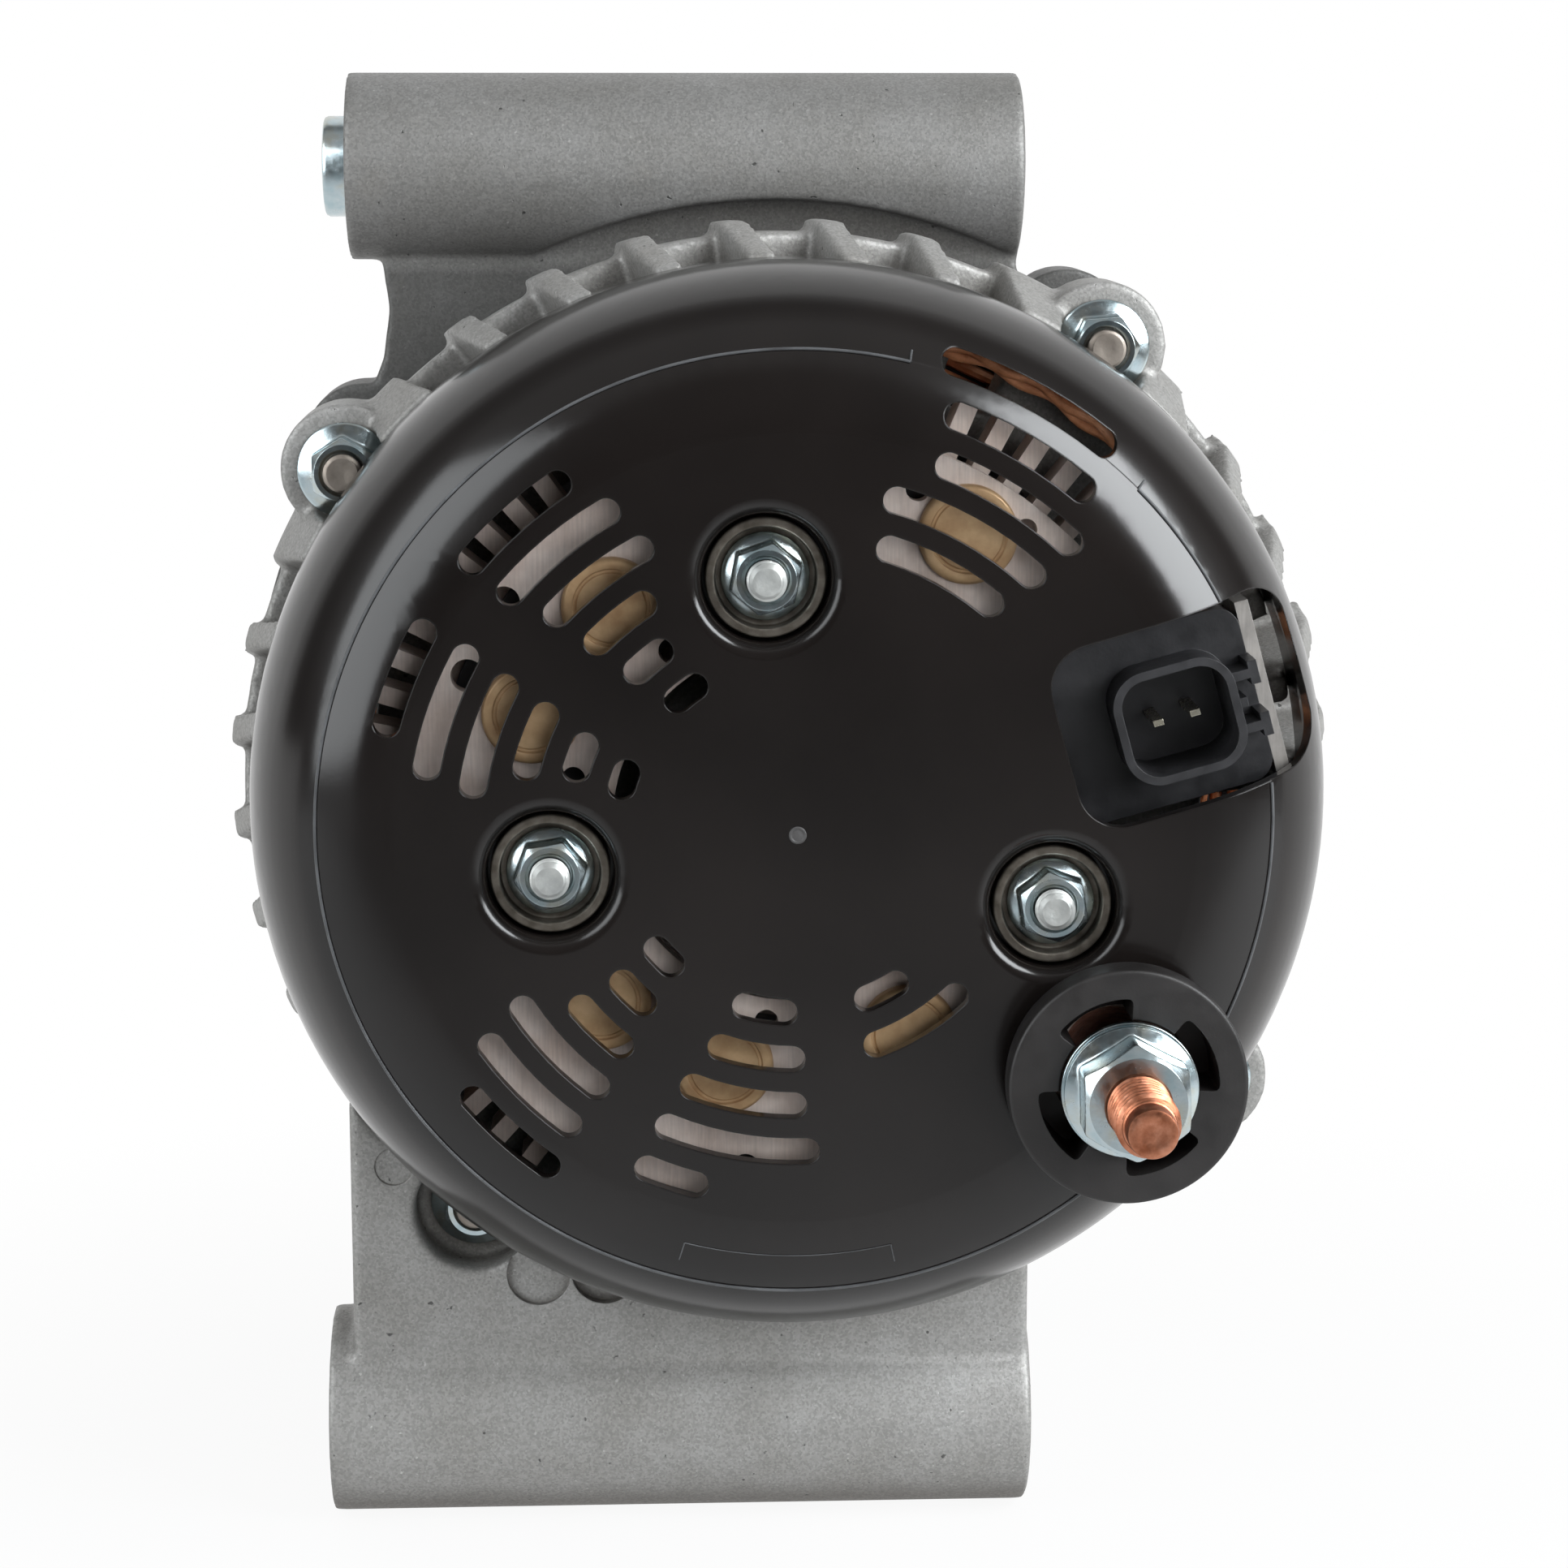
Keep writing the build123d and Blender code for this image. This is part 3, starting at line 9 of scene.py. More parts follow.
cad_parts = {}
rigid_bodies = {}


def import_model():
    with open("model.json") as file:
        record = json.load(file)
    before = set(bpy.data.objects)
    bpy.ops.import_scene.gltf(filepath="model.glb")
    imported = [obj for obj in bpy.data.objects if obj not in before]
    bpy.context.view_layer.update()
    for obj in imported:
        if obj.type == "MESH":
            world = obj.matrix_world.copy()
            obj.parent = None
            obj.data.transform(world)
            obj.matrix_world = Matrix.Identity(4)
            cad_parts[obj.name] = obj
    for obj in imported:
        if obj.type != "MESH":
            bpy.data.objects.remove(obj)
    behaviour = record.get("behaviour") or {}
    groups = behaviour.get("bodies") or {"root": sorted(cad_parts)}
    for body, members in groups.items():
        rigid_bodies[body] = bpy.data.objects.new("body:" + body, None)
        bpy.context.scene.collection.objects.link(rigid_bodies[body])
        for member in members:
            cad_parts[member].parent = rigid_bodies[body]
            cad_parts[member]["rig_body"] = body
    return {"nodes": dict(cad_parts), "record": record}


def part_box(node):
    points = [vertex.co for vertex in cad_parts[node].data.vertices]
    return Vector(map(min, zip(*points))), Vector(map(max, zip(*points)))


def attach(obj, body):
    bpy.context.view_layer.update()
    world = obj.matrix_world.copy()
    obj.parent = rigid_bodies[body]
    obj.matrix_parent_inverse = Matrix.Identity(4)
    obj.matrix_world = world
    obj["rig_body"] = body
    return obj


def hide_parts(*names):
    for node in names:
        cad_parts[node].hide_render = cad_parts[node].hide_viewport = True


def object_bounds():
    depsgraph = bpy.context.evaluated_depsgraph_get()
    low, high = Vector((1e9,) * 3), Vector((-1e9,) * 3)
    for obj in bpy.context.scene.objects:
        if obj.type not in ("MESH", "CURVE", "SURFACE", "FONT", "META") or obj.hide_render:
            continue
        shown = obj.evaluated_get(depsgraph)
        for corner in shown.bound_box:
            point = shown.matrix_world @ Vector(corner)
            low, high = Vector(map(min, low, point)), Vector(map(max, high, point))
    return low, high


MM = 0.001
# Edges turned by more than so many degrees stay sharp, on finished pieces and on castings
SHARP_ANGLE = 30
CAST_SHARP_ANGLE = 55

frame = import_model()
cad_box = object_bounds()
nodes = frame["nodes"]

# The machine's own places, all read from the frame. Depth runs along the shaft from the rear cover's
# flat face towards the pulley; angles are counted from +X towards +Z, seen from the rear.


def middle(node):
    """The middle of a node's box."""
    low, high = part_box(node)
    return (low + high) / 2


AXIS = middle("rear_cover")
FACE_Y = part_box("rear_cover")[0].y


def spot(radius, angle, depth=0.0):
    """A place given by radius and angle about the shaft and depth behind the cover's face, in mm."""
    turn = math.radians(angle)
    return Vector((AXIS.x + radius * MM * math.cos(turn), FACE_Y + depth * MM,
                   AXIS.z + radius * MM * math.sin(turn)))


def depth_of(y):
    """The depth in mm of a row-frame y."""
    return (y - FACE_Y) / MM


def span_y(node):
    """The depths in mm at which a node starts and ends."""
    low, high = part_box(node)
    return depth_of(low.y), depth_of(high.y)


# Meshes


def arc_points(centre, radius, start, end, steps):
    """Points on an arc in the outline plane, angles in degrees."""
    points = []
    for step in range(steps + 1):
        turn = math.radians(start + (end - start) * step / steps)
        points.append((centre[0] + radius * math.cos(turn), centre[1] + radius * math.sin(turn)))
    return points


# Corners whose two sides are this close to one line, as a cosine, stay as they are
STRAIGHT = 0.985


def soften(outline, radius, steps):
    """A closed outline with each corner turned into a small arc."""
    points = [Vector(point) for point in outline]
    result = []
    count = len(points)
    for index, point in enumerate(points):
        before, after = points[index - 1], points[(index + 1) % count]
        first, second = before - point, after - point
        reach = min(radius, 0.45 * first.length, 0.45 * second.length)
        if reach < 1e-6 or abs(first.normalized().dot(second.normalized())) > STRAIGHT:
            result.append(tuple(point))
            continue
        start, end = point + first.normalized() * reach, point + second.normalized() * reach
        for step in range(steps + 1):
            part = step / steps
            near = start.lerp(point, part)
            far = point.lerp(end, part)
            result.append(tuple(near.lerp(far, part)))
    return result


def lathe(mesh, outline, centre, steps, closed=False):
    """Sweeps (radius, depth) points in mm about a line along the shaft's direction."""
    rings = []
    for radius, depth in outline:
        y = FACE_Y + depth * MM
        if radius < 1e-6:
            rings.append([mesh.verts.new((centre.x, y, centre.z))])
            continue
        row = []
        for step in range(steps):
            turn = 2 * math.pi * step / steps
            row.append(mesh.verts.new((centre.x + radius * MM * math.cos(turn), y,
                                       centre.z + radius * MM * math.sin(turn))))
        rings.append(row)
    pairs = list(zip(rings, rings[1:])) + ([(rings[-1], rings[0])] if closed else [])
    for low, high in pairs:
        for step in range(steps):
            after = (step + 1) % steps
            if len(low) == 1:
                mesh.faces.new((low[0], high[step], high[after]))
            elif len(high) == 1:
                mesh.faces.new((low[step], high[0], low[after]))
            else:
                mesh.faces.new((low[step], high[step], high[after], low[after]))


def prism(mesh, outline, rear, front):
    """A straight prism from an outline of (x, z) points in mm about the shaft, between two depths."""
    rows = []
    for depth in (rear, front):
        rows.append([mesh.verts.new((AXIS.x + x * MM, FACE_Y + depth * MM, AXIS.z + z * MM))
                     for x, z in outline])
    count = len(outline)
    mesh.faces.new(rows[0])
    mesh.faces.new(list(reversed(rows[1])))
    for index in range(count):
        after = (index + 1) % count
        mesh.faces.new((rows[0][after], rows[0][index], rows[1][index], rows[1][after]))


def tube(mesh, points, radius, sides, flat=1.0):
    """A round or flattened bar along a line of points."""
    rows = []
    for index, point in enumerate(points):
        before = points[max(index - 1, 0)]
        after = points[min(index + 1, len(points) - 1)]
        along = (after - before).normalized()
        out = Vector((point.x - AXIS.x, 0, point.z - AXIS.z))
        side = along.cross(out).normalized() if along.cross(out).length > 1e-9 else Vector((0, 1, 0))
        up = side.cross(along).normalized()
        rows.append([mesh.verts.new(point + side * (radius * math.cos(2 * math.pi * turn / sides))
                                    + up * (flat * radius * math.sin(2 * math.pi * turn / sides)))
                     for turn in range(sides)])
    for low, high in zip(rows, rows[1:]):
        for turn in range(sides):
            after = (turn + 1) % sides
            mesh.faces.new((low[turn], high[turn], high[after], low[after]))
    mesh.faces.new(rows[0])
    mesh.faces.new(list(reversed(rows[-1])))


def build(name, mesh, sharp=SHARP_ANGLE):
    """Turns a bmesh into an object with outward faces and sharp corners kept."""
    bmesh.ops.recalc_face_normals(mesh, faces=mesh.faces)
    data = bpy.data.meshes.new(name)
    mesh.to_mesh(data)
    mesh.free()
    data.shade_smooth()
    data.set_sharp_from_angle(angle=math.radians(sharp))
    made = bpy.data.objects.new(name, data)
    bpy.context.scene.collection.objects.link(made)
    return made


def apply_modifiers(target):
    """Replaces the mesh by what its modifiers make of it."""
    graph = bpy.context.evaluated_depsgraph_get()
    data = bpy.data.meshes.new_from_object(target.evaluated_get(graph))
    target.modifiers.clear()
    target.data = data


def cut(target, cutter):
    """Cuts one object out of another and removes the cutter."""
    step = target.modifiers.new("cut", "BOOLEAN")
    step.operation = "DIFFERENCE"
    step.solver = "EXACT"
    step.object = cutter
    apply_modifiers(target)
    bpy.data.objects.remove(cutter)


def shade(target, angle=SHARP_ANGLE):
    """Smooth shading with sharp corners kept."""
    target.data.shade_smooth()
    target.data.set_sharp_from_angle(angle=math.radians(angle))


def wear(target, material):
    """Gives an object its Blender material."""
    target.data.materials.clear()
    target.data.materials.append(material)


def stand_in(target, node, material):
    """A finished piece that takes a CAD node's place, on its body, with the given material."""
    target.data.materials.clear()
    target.data.materials.append(material)
    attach(target, nodes[node]["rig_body"])
    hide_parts(node)


SLOT_OF = {row["node"]: row["material_slot"] for row in frame["record"]["subparts"]}


# Materials


def map_range(tree, value, **limits):
    """The result of a Map Range node; limits are its sockets, such as from_min."""
    made = tree.nodes.new("ShaderNodeMapRange")
    for name, limit in limits.items():
        made.inputs[name.replace("_", " ").title()].default_value = limit
    tree.links.new(value, made.inputs["Value"])
    return made.outputs["Result"]


def combine(tree, operation, first, second):
    """The result of a Math node with two linked values."""
    made = tree.nodes.new("ShaderNodeMath")
    made.operation = operation
    tree.links.new(first, made.inputs[0])
    tree.links.new(second, made.inputs[1])
    return made.outputs[0]


def split_axes(tree, vector):
    """A vector's X, Y and Z outputs."""
    made = tree.nodes.new("ShaderNodeSeparateXYZ")
    tree.links.new(vector, made.inputs["Vector"])
    return made.outputs


class Finish:
    """A short way to write a node material."""

    def __init__(self, name):
        self.material = bpy.data.materials.new(name)
        self.material.use_nodes = True
        self.tree = self.material.node_tree
        self.shader = self.tree.nodes["Principled BSDF"]
        self.place = self.tree.nodes.new("ShaderNodeTexCoord").outputs["Object"]

    def node(self, kind, **values):
        made = self.tree.nodes.new(kind)
        for name, value in values.items():
            if name in made.inputs:
                made.inputs[name].default_value = value
            else:
                setattr(made, name, value)
        return made

    def link(self, output, target):
        self.tree.links.new(output, target)

    def noise(self, size, detail=4.0, roughness=0.55, stretch=None):
        """Noise whose features are about size mm."""
        made = self.node("ShaderNodeTexNoise", Scale=1 / (size * MM), Detail=detail, Roughness=roughness)
        place = self.place
        if stretch:
            scaled = self.node("ShaderNodeMapping", Scale=stretch)
            self.link(place, scaled.inputs["Vector"])
            place = scaled.outputs["Vector"]
        self.link(place, made.inputs["Vector"])
        return made.outputs["Fac"]

    def cells(self, size):
        """Random cells of about size mm, each with its own colour."""
        made = self.node("ShaderNodeTexVoronoi", Scale=1 / (size * MM))
        self.link(self.place, made.inputs["Vector"])
        return made

    def ramp(self, value, stops):
        """Maps a value through colour or grey stops."""
        made = self.node("ShaderNodeValToRGB")
        band = made.color_ramp.elements
        while len(band) < len(stops):
            band.new(0.5)
        for element, (position, colour) in zip(band, stops):
            element.position = position
            element.color = (*colour, 1) if isinstance(colour, tuple) else (colour, colour, colour, 1)
        self.link(value, made.inputs["Fac"])
        return made.outputs["Color"]

    def mix(self, first, second, factor, blend="MIX"):
        made = self.node("ShaderNodeMix", data_type="RGBA", blend_type=blend)
        for value, index in ((factor, 0), (first, 6), (second, 7)):
            if isinstance(value, (int, float)):
                made.inputs[index].default_value = value
            elif isinstance(value, tuple):
                made.inputs[index].default_value = (*value, 1)
            else:
                self.link(value, made.inputs[index])
        return made.outputs[2]

    def bump(self, height, distance, strength=1.0, under=None):
        """Adds relief of about distance mm."""
        made = self.node("ShaderNodeBump", Strength=strength, Distance=distance * MM)
        self.link(height, made.inputs["Height"])
        if under is not None:
            self.link(under, made.inputs["Normal"])
        return made.outputs["Normal"]

    def rounded(self, radius):
        """Normals that turn softly over edges."""
        made = self.node("ShaderNodeBevel", Radius=radius * MM, samples=4)
        return made.outputs["Normal"]

    def finish(self, colour=None, rough=None, normal=None, **sockets):
        for value, socket in ((colour, "Base Color"), (rough, "Roughness")):
            if isinstance(value, tuple):
                self.shader.inputs[socket].default_value = (*value, 1)
            elif isinstance(value, (int, float)):
                self.shader.inputs[socket].default_value = value
            elif value is not None:
                self.link(value, self.shader.inputs[socket])
        if normal is not None:
            self.link(normal, self.shader.inputs["Normal"])
        for name, value in sockets.items():
            self.shader.inputs[name.replace("_", " ")].default_value = value
        return self.material


def cover_plastic():
    f = Finish("cover_plastic")
    cloud = f.noise(38, 3)
    colour = f.ramp(cloud, [(0.35, (0.0046, 0.0037, 0.0034)), (0.65, (0.0076, 0.0061, 0.0056))])
    rough = f.ramp(f.noise(22, 4), [(0.3, 0.14), (0.7, 0.19)])
    grain = f.bump(f.noise(0.5, 2), 0.003, under=f.rounded(0.3))
    return f.finish(colour, rough, grain, Specular_IOR_Level=0.42)


def insulator_plastic():
    f = Finish("insulator_plastic")
    colour = f.ramp(f.noise(6, 4), [(0.35, (0.0066, 0.0056, 0.0054)), (0.7, (0.011, 0.0095, 0.0092))])
    rough = f.ramp(f.noise(3, 4), [(0.3, 0.42), (0.7, 0.55)])
    grain = f.bump(f.noise(0.4, 3), 0.02, under=f.rounded(0.2))
    return f.finish(colour, rough, grain)


def socket_plastic():
    f = Finish("socket_plastic")
    colour = f.ramp(f.noise(5, 4), [(0.35, (0.010, 0.010, 0.011)), (0.7, (0.020, 0.020, 0.022))])
    rough = f.ramp(f.noise(2.5, 4), [(0.3, 0.34), (0.7, 0.48)])
    grain = f.bump(f.noise(0.5, 3), 0.02, under=f.rounded(0.15))
    return f.finish(colour, rough, grain)


# How dark each casting is against the shades below, and how dark a front casting's skin and painted shade
# are against the rest of it
REAR_TONE = 0.80
FRONT_TONE = 0.58
SKIN_AND_SHADE_TONE = 0.48


def cast_aluminium(name, tone, skin_and_shade_below=None):
    """Shot-blasted casting: soft patches, fine bright grain, small pits, and painted shade in the corners
    and recesses.

    Below a given height the casting is darker, partly its own darker skin and partly painted shade under the
    bar."""
    f = Finish(name)
    shades = [(0.3, (0.285, 0.278, 0.262)), (0.55, (0.335, 0.330, 0.318)), (0.75, (0.375, 0.372, 0.362))]
    toned = [(stop, tuple(tone * part for part in colour)) for stop, colour in shades]
    patches = f.ramp(f.noise(16, 5, 0.6), toned)
    sparkle = f.ramp(f.cells(0.30).outputs["Color"], [(0.2, 0.80), (0.62, 1.0), (0.93, 1.12), (1.0, 1.6)])
    colour = f.mix(patches, sparkle, 1.0, "MULTIPLY")
    stain = f.ramp(f.noise(9, 6, 0.7), [(0.60, 0.0), (0.78, 0.3)])
    colour = f.mix(colour, (0.20, 0.185, 0.165), stain)
    pits = f.ramp(f.noise(1.1, 2, 0.4), [(0.22, 0.3), (0.27, 1.0)])
    colour = f.mix(colour, pits, 1.0, "MULTIPLY")
    # Painted shade: below the bar's foot the colour darkens, standing in for the shadow of the bar and cover
    # as well as the casting's skin
    if skin_and_shade_below is not None:
        height = split_axes(f.tree, f.place)["Z"]
        reach = map_range(f.tree, height, from_min=skin_and_shade_below - 2 * MM, from_max=skin_and_shade_below,
                          to_min=SKIN_AND_SHADE_TONE)
        colour = f.mix(colour, reach, 1.0, "MULTIPLY")
    # Painted shade: ambient occlusion darkens the colour in corners and recesses
    recess = f.node("ShaderNodeAmbientOcclusion", Distance=9 * MM, samples=8)
    painted_recess_shade = f.ramp(recess.outputs["AO"], [(0.2, (0.46, 0.43, 0.40)), (0.8, (1.0, 1.0, 1.0))])
    colour = f.mix(colour, painted_recess_shade, 1.0, "MULTIPLY")
    rough = f.ramp(f.noise(0.5, 3), [(0.3, 0.44), (0.7, 0.62)])
    normal = f.bump(f.noise(0.42, 3, 0.6), 0.05, under=f.rounded(0.3))
    normal = f.bump(f.noise(4.5, 3), 0.08, 0.6, under=normal)
    normal = f.bump(pits, 0.10, under=normal)
    return f.finish(colour, rough, normal, Metallic=0.45)


def zinc_plate():
    """Bright plating with a faint yellow and blue tint."""
    f = Finish("zinc_plate")
    tint = f.ramp(f.noise(3.2, 3), [(0.30, (0.40, 0.51, 0.545)), (0.5, (0.50, 0.575, 0.60)),
                                    (0.72, (0.50, 0.51, 0.455))])
    rough = f.ramp(f.noise(1.2, 4), [(0.3, 0.16), (0.7, 0.28)])
    normal = f.bump(f.noise(0.8, 4), 0.012, under=f.rounded(0.12))
    return f.finish(tint, rough, normal, Metallic=1.0)


def collar_steel():
    f = Finish("collar_steel")
    tint = f.ramp(f.noise(2.0, 4), [(0.35, (0.095, 0.082, 0.067)), (0.7, (0.19, 0.17, 0.145))])
    rough = f.ramp(f.noise(0.8, 4), [(0.3, 0.36), (0.7, 0.52)])
    return f.finish(tint, rough, f.bump(f.noise(0.3, 3), 0.01, under=f.rounded(0.15)), Metallic=0.9)


def copper_plate():
    """Copper plating with a cloudy tone."""
    f = Finish("copper_plate")
    tint = f.ramp(f.noise(1.5, 5, 0.6), [(0.3, (0.30, 0.10, 0.05)), (0.55, (0.47, 0.19, 0.11)),
                                         (0.75, (0.60, 0.28, 0.18))])
    rough = f.ramp(f.noise(0.7, 4), [(0.3, 0.32), (0.7, 0.50)])
    return f.finish(tint, rough, f.bump(f.noise(0.25, 3), 0.012), Metallic=1.0)


def sheet_metal(name, low, high, rough_low, rough_high):
    """Stamped plate with fine directional scratches and cloudy tarnish."""
    f = Finish(name)
    cloud = f.noise(7, 5, 0.6)
    colour = f.ramp(cloud, [(0.3, low), (0.7, high)])
    lines = f.noise(0.35, 2, 0.5, stretch=(1.0, 1.0, 0.06))
    colour = f.mix(colour, f.ramp(lines, [(0.3, 0.82), (0.7, 1.1)]), 0.6, "MULTIPLY")
    rough = f.ramp(f.noise(2.0, 4), [(0.3, rough_low), (0.7, rough_high)])
    normal = f.bump(lines, 0.02, under=f.rounded(0.12))
    return f.finish(colour, rough, normal, Metallic=0.35)


def plain_metal(name, low, high, rough_low, rough_high, metallic=1.0, grain=0.01, grain_size=0.4):
    f = Finish(name)
    colour = f.ramp(f.noise(4.0, 4), [(0.3, low), (0.7, high)])
    rough = f.ramp(f.noise(1.5, 4), [(0.3, rough_low), (0.7, rough_high)])
    normal = f.bump(f.noise(grain_size, 3), grain, under=f.rounded(0.12))
    return f.finish(colour, rough, normal, Metallic=metallic)


def dull_plastic(name, low, high, rough=0.5):
    f = Finish(name)
    colour = f.ramp(f.noise(5.0, 4), [(0.3, low), (0.7, high)])
    roughness = f.ramp(f.noise(2.0, 3), [(0.3, rough - 0.07), (0.7, rough + 0.07)])
    return f.finish(colour, roughness, f.bump(f.noise(0.5, 3), 0.02, under=f.rounded(0.15)))


def laminations():
    """Edges of stacked sheet, with a thin dark varnish and light rubbed lines."""
    f = Finish("laminations")
    bands = f.noise(0.45, 1, 0.3, stretch=(0.02, 1.0, 0.02))
    colour = f.ramp(bands, [(0.3, (0.045, 0.045, 0.048)), (0.6, (0.12, 0.12, 0.125)),
                            (0.8, (0.22, 0.22, 0.22))])
    patch = f.ramp(f.noise(14, 5), [(0.35, 0.75), (0.7, 1.15)])
    colour = f.mix(colour, patch, 1.0, "MULTIPLY")
    return f.finish(colour, 0.42, f.bump(bands, 0.05), Metallic=0.75)


def copper_wire():
    """Enamelled copper under an uneven coat of resin."""
    f = Finish("copper_wire")
    cloud = f.noise(5, 5, 0.65)
    colour = f.ramp(cloud, [(0.3, (0.36, 0.13, 0.055)), (0.55, (0.70, 0.31, 0.155)),
                            (0.75, (0.86, 0.47, 0.30))])
    rough = f.ramp(f.noise(2, 4), [(0.3, 0.3), (0.7, 0.5)])
    return f.finish(colour, rough, f.bump(f.noise(0.9, 4), 0.06), Metallic=0.3)


def carbon():
    f = Finish("carbon")
    speck = f.cells(0.3)
    colour = f.ramp(speck.outputs["Color"], [(0.2, (0.02, 0.02, 0.02)), (0.9, (0.07, 0.06, 0.055))])
    return f.finish(colour, 0.55, f.bump(f.noise(0.3, 3), 0.02))


MATERIALS = {
    "cover_plastic": cover_plastic(),
    "collar_steel": collar_steel(),
    "zinc": zinc_plate(),
    "copper_plate": copper_plate(),
    "stud_end": plain_metal("stud_end", (0.30, 0.31, 0.305), (0.52, 0.53, 0.51), 0.40, 0.58,
                            metallic=0.75, grain=0.09, grain_size=0.9),
    "bolt_end": plain_metal("bolt_end", (0.20, 0.17, 0.145), (0.36, 0.32, 0.28), 0.42, 0.58,
                            metallic=0.8, grain=0.04, grain_size=0.8),
    "cast_aluminium": cast_aluminium("cast_aluminium", REAR_TONE),
    "plate_aluminium": sheet_metal("plate_aluminium", (0.60, 0.49, 0.43), (0.80, 0.71, 0.66), 0.38, 0.56),
    "diode_can": plain_metal("diode_can", (0.40, 0.245, 0.125), (0.66, 0.46, 0.265), 0.34, 0.5,
                             metallic=0.45, grain=0.02, grain_size=1.2),
    "block_resin": dull_plastic("block_resin", (0.012, 0.012, 0.013), (0.024, 0.024, 0.026)),
    "socket_plastic": socket_plastic(),
    "blade": plain_metal("blade", (0.62, 0.57, 0.44), (0.78, 0.74, 0.62), 0.2, 0.32),
    "steel": plain_metal("steel", (0.36, 0.36, 0.365), (0.5, 0.5, 0.505), 0.24, 0.38),
    "bearing_steel": plain_metal("bearing_steel", (0.52, 0.52, 0.53), (0.64, 0.64, 0.65), 0.12, 0.2),
    "cage_resin": dull_plastic("cage_resin", (0.22, 0.18, 0.10), (0.32, 0.27, 0.17)),
    "lamination": laminations(),
    "copper_wire": copper_wire(),
    "bobbin_resin": dull_plastic("bobbin_resin", (0.05, 0.04, 0.03), (0.10, 0.085, 0.07)),
    "pole_steel": plain_metal("pole_steel", (0.075, 0.072, 0.07), (0.17, 0.165, 0.16), 0.42, 0.6,
                              metallic=0.8, grain=0.05, grain_size=1.2),
    "fan_steel": plain_metal("fan_steel", (0.05, 0.05, 0.052), (0.11, 0.11, 0.112), 0.4, 0.55,
                             metallic=0.6, grain=0.02),
    "slip_copper": plain_metal("slip_copper", (0.60, 0.30, 0.19), (0.74, 0.42, 0.28), 0.22, 0.34),
    "carbon": carbon(),
    "spring_steel": plain_metal("spring_steel", (0.36, 0.36, 0.36), (0.5, 0.5, 0.5), 0.3, 0.4),
    "pulley_steel": plain_metal("pulley_steel", (0.022, 0.022, 0.024), (0.05, 0.05, 0.053), 0.34, 0.48,
                                metallic=0.6, grain=0.02),
}

for node, target in nodes.items():
    target.data.materials.clear()
    target.data.materials.append(MATERIALS[SLOT_OF[node]])

# The regulator's heatsink is darker than the rectifier's plates
SINK_ALUMINIUM = sheet_metal("sink_aluminium", (0.20, 0.19, 0.18), (0.34, 0.32, 0.30), 0.3, 0.42)
nodes["regulator_heatsink"].data.materials[0] = SINK_ALUMINIUM


# Pieces that take the place of plainer solids


def turn_rows(mesh, rows, radius_at, centre, steps):
    """Sweeps rows of one depth each about an axis, with a radius that may change with the angle."""
    rings = []
    for depth in rows:
        ring = []
        for step in range(steps):
            turn = 2 * math.pi * step / steps
            radius = radius_at(depth, turn) * MM
            ring.append(mesh.verts.new((centre.x + radius * math.cos(turn), FACE_Y + depth * MM,
                                        centre.z + radius * math.sin(turn))))
        rings.append(ring)
    for low, high in zip(rings, rings[1:]):
        for step in range(steps):
            after = (step + 1) % steps
            mesh.faces.new((low[step], high[step], high[after], low[after]))
    return rings


def even(start, end, pitch):
    """Evenly spaced values from start to end, about one pitch apart."""
    count = max(int(round(abs(end - start) / pitch)), 1)
    return [start + (end - start) * step / count for step in range(count + 1)]


# A thread's groove in pitches: its depth, the flat crest, and its two flanks together
GROOVE_DEPTH = 0.61
CREST = 0.14
FLANKS = 0.72
ROWS_PER_PITCH = 12


def thread(mesh, centre, rear, front, size, chamfer, point=None, steps=56):
    """A right-hand thread; size holds major radius and pitch, point is (radius, depth) of a plain tip."""
    major, pitch = size["major"], size["pitch"]
    deep = GROOVE_DEPTH * pitch

    def radius_at(depth, turn):
        phase = (depth / pitch + turn / (2 * math.pi)) % 1.0
        groove = min(max((abs(2 * phase - 1) - CREST) / FLANKS, 0.0), 1.0)
        radius = major - deep * groove
        return min(radius, major - chamfer + (depth - rear))

    rings = turn_rows(mesh, even(rear, front, pitch / ROWS_PER_PITCH), radius_at, centre, steps)
    if point:
        radius, tip = point
        face = [(0, tip + 0.12), (radius * 0.45, tip + 0.12), (radius * 0.62, tip)]
        side = [(radius - 0.35, tip), (radius - 0.1, tip + 0.1), (radius, tip + 0.35), (radius, rear - 0.15),
                (radius + 0.2, rear)]
        lathe(mesh, face + side, centre, steps)
    else:
        lathe(mesh, [(0, rear + 0.12), (0.3 * major, rear + 0.1), (0.5 * major, rear),
                     (major - chamfer - 0.15, rear)], centre, steps)
        last = mesh.verts[:][-steps:]
        mesh.verts.ensure_lookup_table()
        for step in range(steps):
            after = (step + 1) % steps
            mesh.faces.new((last[step], last[after], rings[0][after], rings[0][step]))
    mesh.faces.new(rings[-1])


# A nut's corners and crown as shares of a sharp one, and how fast its chamfer widens
CORNER_SHARE = 0.985
CROWN_SHARE = 0.93
CROWN_RISE = 1.25
# The flange: its upright rim as a share of its height, its cone's slope, and the rim's rounding in mm
RIM_SHARE = 0.55
CONE_SLOPE = 2.3
RIM_ROUND = 0.12
RIM_ROUND_HEIGHT = 0.25
NUT_FILLET = 0.35


